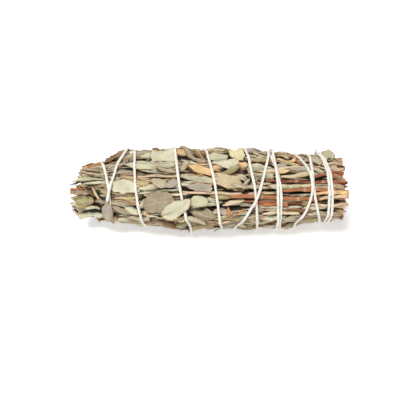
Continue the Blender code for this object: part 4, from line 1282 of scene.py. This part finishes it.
# %% Leaves over the string
OVER_STRING = (
    (162, 216.5, 190.5, 199.5, 14.5, "leaf", "flat", "pale",
     {"piece": "loose_leaf_13", "wave": 0.15, "torn": 0.1, "edge": 0.06, "stiff": 80, "crease": 0.05}),
    (116.0, 218.0, 98.0, 217.0, 5.0, "torn", "fold", "olive", {"torn": 0.4, "stiff": 30}),
    (107.5, 216.0, 108.0, 200.5, 10.0, "cut", "flat", "lilac",
     {"wave": 0.1, "torn": 0.3, "edge": 0.08, "stiff": 60, "sink": -0.6}),
)
bunch_is_tied = True
surface = Surface(finished.reach)
for shift in np.linspace(-0.5, 0.5, 5):
    surface.raise_to(string_at + shift, wound, string_reach + math.sqrt(STRING_RADIUS**2 - shift**2 * 0.9))
for row in OVER_STRING:
    lay_seen(row)
print("points in the leaf over the string:", pieces["loose_leaf_13"].count)

# %% [markdown]
# The string is three yarns twisted together. At this size the twist shows as slanting lobes, so it is
# modelled: a tube whose outline has three lobes that turn as they go along. A curve with a bevel would be
# quicker, but it would be smooth, and its shine would give it away.

# %% The string
def string_points(spacing=0.42, sides=15, pitch=4.2):
    centres = place(string_at, wound, string_reach)
    gone = np.concatenate([[0], np.cumsum(np.linalg.norm(np.diff(centres, axis=0), axis=1))])
    at = np.linspace(0, gone[-1], int(gone[-1] / spacing))
    path = np.stack([np.interp(at, gone, centres[:, k]) for k in range(3)], axis=1)
    ways = np.gradient(path, axis=0)
    ways /= np.linalg.norm(ways, axis=1, keepdims=True)
    outs = path - MIDDLE_LINE
    outs[:, 0] = 0
    outs -= ways * (outs * ways).sum(axis=1, keepdims=True)
    outs /= np.linalg.norm(outs, axis=1, keepdims=True)
    sideways = np.cross(ways, outs)
    angles = 2 * np.pi * np.arange(sides) / sides
    twist = 2 * np.pi * at[:, None] / pitch
    lobes = 0.86 + 0.15 * np.cos(3 * angles[None, :] - twist * 3)
    radii = STRING_RADIUS * lobes * (1 + 0.05 * np.sin(at / 3.1) + 0.04 * np.sin(at / 1.3 + 2))[:, None]
    ring = np.cos(angles)[None, :, None] * outs[:, None, :]
    ring = ring + np.sin(angles)[None, :, None] * sideways[:, None, :]
    points = path[:, None, :] + ring * radii[..., None]
    points[..., 2] = np.maximum(points[..., 2], 0.02)
    spot = np.stack([at[:, None] + 0 * angles, angles[None, :] * STRING_RADIUS + 0 * at[:, None]], axis=-1)
    return points, spot, lobes


def closed_tube(points):
    count, sides = points.shape[:2]
    index = np.arange(count * sides).reshape(count, sides)
    after = np.roll(index, -1, axis=1)
    faces = np.stack([index[:-1], index[1:], after[1:], after[:-1]], axis=-1).reshape(-1, 4)
    caps = []
    for row, way in ((0, 1), (count - 1, -1)):
        ring = index[row]
        quads = [(ring[0], ring[k], ring[k + 1], ring[min(k + 2, sides - 1)]) for k in range(1, sides - 2, 2)]
        caps += [quad[::way] for quad in quads]
    return np.concatenate([faces, np.array(caps)])


string_mesh, string_spot, string_lobes = string_points()
print("string rings:", len(string_mesh))

# %% [markdown]
# The finishes come next. Shader maths reads best as plain formulas, so a small class wraps a node's output
# and lets +, - and * add Math nodes. Every other node is made by one method that takes the node's settings
# first and then what goes into its sockets.

# %% Formulas from shader nodes
class Wire:
    """An output of a node, with the operators that a formula needs."""

    def __init__(self, finish, socket):
        self.finish, self.socket = finish, socket

    def maths(self, operation, *values):
        return self.finish.node("ShaderNodeMath", {"operation": operation}, *values)

    def __add__(self, other):
        return self.maths("ADD", self, other)

    def __sub__(self, other):
        return self.maths("SUBTRACT", self, other)

    def __mul__(self, other):
        return self.maths("MULTIPLY", self, other)

    def __abs__(self):
        return self.maths("ABSOLUTE", self)

    def step(self, start, end):
        """0 at start, 1 at end and smooth between."""
        return self.finish.node(
            "ShaderNodeMapRange", {"interpolation_type": "SMOOTHSTEP"}, self, start, end, 0.0, 1.0
        )


class Finish:
    """A material while it is made."""

    def __init__(self, name, roughness):
        self.material = bpy.data.materials.new(name)
        self.material.use_nodes = True
        self.tree = self.material.node_tree
        self.shader = self.tree.nodes["Principled BSDF"]
        self.shader.inputs["Roughness"].default_value = roughness
        self.shader.inputs["Specular IOR Level"].default_value = 0.25

    def node(self, kind, settings=None, *values, output=0, **named):
        made = self.tree.nodes.new(kind)
        for name, value in (settings or {}).items():
            setattr(made, name, value)
        for key, value in [*enumerate(values), *named.items()]:
            self.join(value, made.inputs[key if isinstance(key, int) else key.replace("_", " ")])
        return Wire(self, made.outputs[output])

    def join(self, value, socket):
        if isinstance(value, Wire):
            self.tree.links.new(value.socket, socket)
        elif value is not None:
            if socket.type == "RGBA" and len(value) == 3:
                value = (*value, 1.0)
            socket.default_value = value

    def to(self, name, value):
        self.join(value, self.shader.inputs[name])

    def mix(self, share, first, second):
        """A mix of two colours."""
        settings = {"data_type": "RGBA", "clamp_factor": True}
        made = self.node("ShaderNodeMix", settings, output=2)
        sockets = made.socket.node.inputs
        for socket, value in ((sockets[0], share), (sockets[6], first), (sockets[7], second)):
            self.join(value, socket)
        return made

    def noise(self, where, scale, detail=3.0, roughness=0.55):
        return self.node("ShaderNodeTexNoise", None, where, Scale=scale, Detail=detail, Roughness=roughness)

    def attribute(self, name, output):
        return self.node("ShaderNodeAttribute", {"attribute_name": name}, output=output)

    def where(self):
        return self.node("ShaderNodeTexCoord", output=3)

    def along_and_across(self):
        """Where a point is along and across its leaf, stem or string, as the mesh holds it."""
        spot = self.node("ShaderNodeUVMap", {"uv_map": "leaf"})
        parts = self.node("ShaderNodeSeparateXYZ", None, spot)
        return parts, Wire(self, parts.socket.node.outputs[1])

    def streaks(self, along, across, apart, scale, detail, roughness):
        """A noise read at a place that is scaled differently each way, so that it comes out as streaks."""
        stretched = self.node("ShaderNodeCombineXYZ", None, along, across, apart)
        return self.noise(stretched, scale, detail, roughness)

    def bump(self, height, distance, strength):
        return self.node("ShaderNodeBump", None, Strength=strength, Distance=distance, Height=height)


print("Wire and Finish are ready")

# %% [markdown]
# ** Leaf.** Dry sage is matt: short felt scatters the light, so there is hardly any gloss. The colour comes
# from the tone held in the mesh. Over it go blotches a few millimetres wide, fine felt grain, a pale rib
# with slanting side veins, and a thin rust-brown line along edges, broken by noise as it is on a real
# leaf. What lies deep between leaves is painted darker, as painted shade, because little light gets there.

# %% Leaf finish
def leaf_finish():
    finish = Finish("dry sage leaf", 0.88)
    where = finish.where()
    shade = finish.attribute("tone", 0)
    margin = finish.attribute("margin", 2)
    # how much shade is painted at each point, as the mesh holds it
    deep = finish.attribute("deep", 2)
    ahead, across = finish.along_and_across()
    blotch = finish.noise(where, 260.0, 4.0, 0.6)
    grain = finish.noise(where, 2600.0, 3.0, 0.7)
    streak = finish.streaks(ahead * 0.35, across * 3.2, 0.0, 1.2, 4.0, 0.6)
    rust_at = finish.noise(where, 700.0, 2.0, 0.5)
    colour = finish.mix(blotch.step(0.40, 0.72) * 0.42, shade, finish.mix(0.5, shade, tuple(TONES["brown"])))
    colour = finish.mix(blotch.step(0.52, 0.28) * 0.30, colour, tuple(TONES["pale"]))
    colour = finish.mix(streak.step(0.50, 0.75) * 0.35, colour, tuple(TONES["brown"]))
    side = abs(across)
    rib = side.step(0.22, 0.05)
    vein_wave = finish.node("ShaderNodeMath", {"operation": "SINE"}, (ahead + side * 1.3) * 3.6)
    veins = vein_wave.step(0.90, 1.0) * side.step(0.1, 0.4)
    colour = finish.mix(rib * 0.40, colour, tuple(TONES["straw"]))
    colour = finish.mix(veins * 0.16, colour, tuple(TONES["dusk"]))
    colour = finish.mix(grain.step(0.35, 0.75) * 0.16, colour, tuple(TONES["heart"]))
    edge = (margin + rust_at * 0.5).step(0.56, 0.40) * rust_at.step(0.38, 0.52)
    colour = finish.mix(edge * 0.85, colour, finish.mix(blotch, tuple(TONES["rust"]), tuple(TONES["brown"])))
    # painted shade: near black where a point lies deep between leaves
    colour = finish.mix(deep.step(0.02, 0.75) * 0.95, colour, tuple(TONES["heart"] * 0.10))
    finish.to("Base Color", colour)
    finish.to("Roughness", grain * 0.14 + 0.80)
    height = grain * 0.35 + blotch * 0.5 + streak * 0.9 + veins * 0.25 + rib * 0.5
    finish.to("Normal", finish.bump(height, 0.00022, 0.55))
    finish.shader.inputs["Sheen Weight"].default_value = 0.12
    finish.shader.inputs["Sheen Roughness"].default_value = 0.6
    return finish.material


# %% [markdown]
# **Stem bark and cut ends.** Bark is red-brown under a pale skin that has split lengthwise, so the skin is
# long thin streaks, made by a noise stretched along the stem. A cut end shows wood: ringed, rough and a
# little darker at the rim.

# %% Stem and cut finishes
def stem_finish():
    finish = Finish("sage bark", 0.78)
    shade = finish.attribute("tone", 0)
    where = finish.where()
    ahead, across = finish.along_and_across()
    # how much shade is painted at each point, as the mesh holds it
    deep = finish.attribute("deep", 2)
    long_streak = finish.streaks(ahead * 0.30, across * 3.4, 0.0, 1.0, 5.0, 0.62)
    skin = finish.streaks(ahead * 0.14, across * 0.9, 3.0, 1.0, 3.0, 0.6)
    grain = finish.noise(where, 3200.0, 2.0, 0.6)
    colour = finish.mix(skin.step(0.52, 0.66) * 0.30, shade, tuple(TONES["bark_pale"]))
    colour = finish.mix(long_streak.step(0.50, 0.32) * 0.75, colour, tuple(TONES["heart"]))
    colour = finish.mix(long_streak.step(0.58, 0.78) * 0.34, colour, tuple(TONES["straw"]))
    colour = finish.mix(grain.step(0.4, 0.8) * 0.15, colour, tuple(TONES["heart"]))
    # painted shade: near black where a stem lies deep under leaves
    colour = finish.mix(deep.step(0.10, 1.0) * 0.92, colour, tuple(TONES["heart"] * 0.12))
    finish.to("Base Color", colour)
    finish.to("Roughness", long_streak * 0.2 + 0.66)
    finish.to("Normal", finish.bump(long_streak * 1.0 + grain * 0.3 + skin * 0.5, 0.00025, 0.7))
    return finish.material


def cut_finish():
    finish = Finish("cut stem end", 0.9)
    shade = finish.attribute("tone", 0)
    where = finish.where()
    grain = finish.noise(where, 2400.0, 4.0, 0.7)
    coarse = finish.noise(where, 900.0, 2.0, 0.5)
    colour = finish.mix(grain.step(0.45, 0.75) * 0.5, shade, tuple(TONES["heart"]))
    colour = finish.mix(coarse.step(0.5, 0.7) * 0.35, colour, tuple(TONES["straw"]))
    finish.to("Base Color", colour)
    finish.to("Roughness", grain * 0.1 + 0.85)
    finish.to("Normal", finish.bump(grain * 1.0 + coarse, 0.0003, 0.8))
    return finish.material


# %% [markdown]
# ** String.** Undyed cotton is almost white and dull, with a soft sheen. Fine fibres run slanting over the
# lobes, and the furrows between its yarns are painted a little greyer, as painted shade.

# %% String finish
def string_finish():
    finish = Finish("cotton string", 0.92)
    where = finish.where()
    ahead, across = finish.along_and_across()
    furrow_shading = finish.attribute("margin", 2)
    fibres = finish.streaks(ahead * 1.0 - across * 2.2, across * 9.0, 0.0, 2.6, 4.0, 0.7)
    dust = finish.noise(where, 300.0, 3.0, 0.6)
    # painted shade: greyer in the furrows between the yarns
    colour = finish.mix(furrow_shading, tuple(tone(206, 198, 182)), tuple(tone(250, 249, 245)))
    colour = finish.mix(fibres.step(0.55, 0.8) * 0.30, colour, tuple(tone(214, 206, 192)))
    colour = finish.mix(dust.step(0.5, 0.75) * 0.25, colour, tuple(tone(226, 219, 202)))
    finish.to("Base Color", colour)
    finish.to("Roughness", fibres * 0.08 + 0.88)
    finish.to("Normal", finish.bump(fibres, 0.00018, 0.7))
    finish.shader.inputs["Sheen Weight"].default_value = 0.25
    finish.shader.inputs["Sheen Roughness"].default_value = 0.5
    return finish.material


finishes = [leaf_finish(), stem_finish(), cut_finish(), string_finish()]
print("finishes:", ", ".join(m.name for m in finishes))

# %% [markdown]
# Now the arrays become meshes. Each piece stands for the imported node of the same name, which is then
# hidden, and rides on the same body.

# %% Make the pieces
def mesh_piece(name, points, faces, kinds, tones, margins, painted_shade, spots, materials, smooth_below=50.0):
    mesh = bpy.data.meshes.new(name)
    mesh.vertices.add(len(points))
    mesh.vertices.foreach_set("co", (points * MM).astype(np.float32).ravel())
    mesh.loops.add(faces.size)
    mesh.loops.foreach_set("vertex_index", faces.astype(np.int32).ravel())
    mesh.polygons.add(len(faces))
    mesh.polygons.foreach_set("loop_start", np.arange(0, faces.size, 4, dtype=np.int32))
    mesh.polygons.foreach_set("material_index", kinds.astype(np.int32))
    mesh.update(calc_edges=True)
    colours = mesh.attributes.new("tone", "FLOAT_COLOR", "POINT")
    with_alpha = np.concatenate([tones, np.ones((len(tones), 1))], axis=1)
    colours.data.foreach_set("color", with_alpha.astype(np.float32).ravel())
    mesh.attributes.new("margin", "FLOAT", "POINT").data.foreach_set("value", margins.astype(np.float32))
    mesh.attributes.new("deep", "FLOAT", "POINT").data.foreach_set("value", painted_shade.astype(np.float32))
    mesh.uv_layers.new(name="leaf").data.foreach_set("uv", spots[faces.ravel()].astype(np.float32).ravel())
    mesh.shade_smooth()
    mesh.set_sharp_from_angle(angle=math.radians(smooth_below))
    for material in materials:
        mesh.materials.append(material)
    mesh.validate()
    made = bpy.data.objects.new(name + "_look", mesh)
    bpy.context.scene.collection.objects.link(made)
    return made


total = 0
for name, piece in pieces.items():
    if name == "cotton_string" or not piece.count:
        continue
    laid_at = np.concatenate(piece.points)
    reach = np.where(np.concatenate(piece.late), laid_at[:, 2], tied(*laid_at.T))
    points = place(laid_at[:, 0], laid_at[:, 1], reach)
    points[:, 2] = np.maximum(points[:, 2], 0.03)
    # painted shade: the deeper a point lies under the blurred surface, the darker its finish paints it
    painted_shade = np.clip(shade_level.read(laid_at[:, 0], laid_at[:, 1]) - reach, 0, 9)
    # light falls in from the cut end
    painted_shade = painted_shade * (1 - 0.65 * smooth_step((laid_at[:, 0] - 96.0) / 4.5))
    # at the tip the inner pieces get little painted shade, so end on they stay brown; outer leaves get more
    at_tip = smooth_step((17.0 - laid_at[:, 0]) / 6.0)
    if name.startswith("inner"):
        painted_shade = np.minimum(painted_shade, 9.0 - 8.62 * at_tip)
    else:
        painted_shade = painted_shade * (1 + 1.6 * at_tip)
    # broad leaves get less painted shade, and the near-black sheet in the hollow gets it in full
    painted_shade = painted_shade * (1 - 0.8 * smooth_step((np.concatenate(piece.margins) - 0.9) / 1.2))
    painted_shade[np.concatenate(piece.tones).sum(axis=1) < 0.12] = 2.0
    faces = np.concatenate(piece.faces)
    made = mesh_piece(
        name, points, faces, np.concatenate(piece.kinds), np.concatenate(piece.tones),
        np.concatenate(piece.margins), painted_shade, np.concatenate(piece.spots), finishes[:3],
    )
    total += len(faces)
    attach(made, "root")
    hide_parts(name)
faces = closed_tube(string_mesh)
count = string_mesh.shape[0] * string_mesh.shape[1]
# the string's margin is how high each point stands on its yarn's lobe, which its finish turns into painted
# shade in the furrows
made = mesh_piece(
    "cotton_string", string_mesh.reshape(-1, 3), faces, np.zeros(len(faces)), np.ones((count, 3)),
    ((string_lobes - 0.71) / 0.3).ravel(), np.zeros(count), string_spot.reshape(-1, 2), finishes[3:], 60.0,
)
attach(made, "root")
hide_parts("cotton_string")
print("faces:", total, "and string", len(faces))

# %% [markdown]
# The stage is a plain near-white floor under soft studio light: a bright even sky, one large lamp above and
# in front, which gives the leaves their shaded sides, and a weak one that fills in from the right.

# %% Floor and light
bpy.ops.mesh.primitive_plane_add(size=12.0, location=(0, 0, 0))
floor = bpy.context.object
floor.name = "floor"
white = Finish("white floor", 0.9)
white.shader.inputs["Base Color"].default_value = (0.7, 0.7, 0.7, 1)
white.shader.inputs["Emission Color"].default_value = (1, 1, 1, 1)
white.shader.inputs["Emission Strength"].default_value = 0.50
floor.data.materials.append(white.material)

world = bpy.data.worlds.new("studio")
world.use_nodes = True
world.node_tree.nodes["Background"].inputs["Color"].default_value = (1.0, 0.995, 0.985, 1)
world.node_tree.nodes["Background"].inputs["Strength"].default_value = 0.27
bpy.context.scene.world = world


def soft_lamp(name, where, size, power, colour):
    lamp = bpy.data.lights.new(name, "AREA")
    lamp.size, lamp.energy, lamp.color = size, power, colour
    stand = bpy.data.objects.new(name, lamp)
    stand.location = where
    stand.rotation_euler = (Vector((0, 0, 0.015)) - Vector(where)).to_track_quat("-Z", "Y").to_euler()
    bpy.context.scene.collection.objects.link(stand)


soft_lamp("main light", (-0.28, -0.40, 0.97), 0.34, 13.0, (1.0, 0.985, 0.96))
soft_lamp("fill light", (0.6, -0.7, 0.5), 0.6, 1.7, (1.0, 1.0, 1.0))
bpy.context.scene.view_settings.view_transform = "Standard"
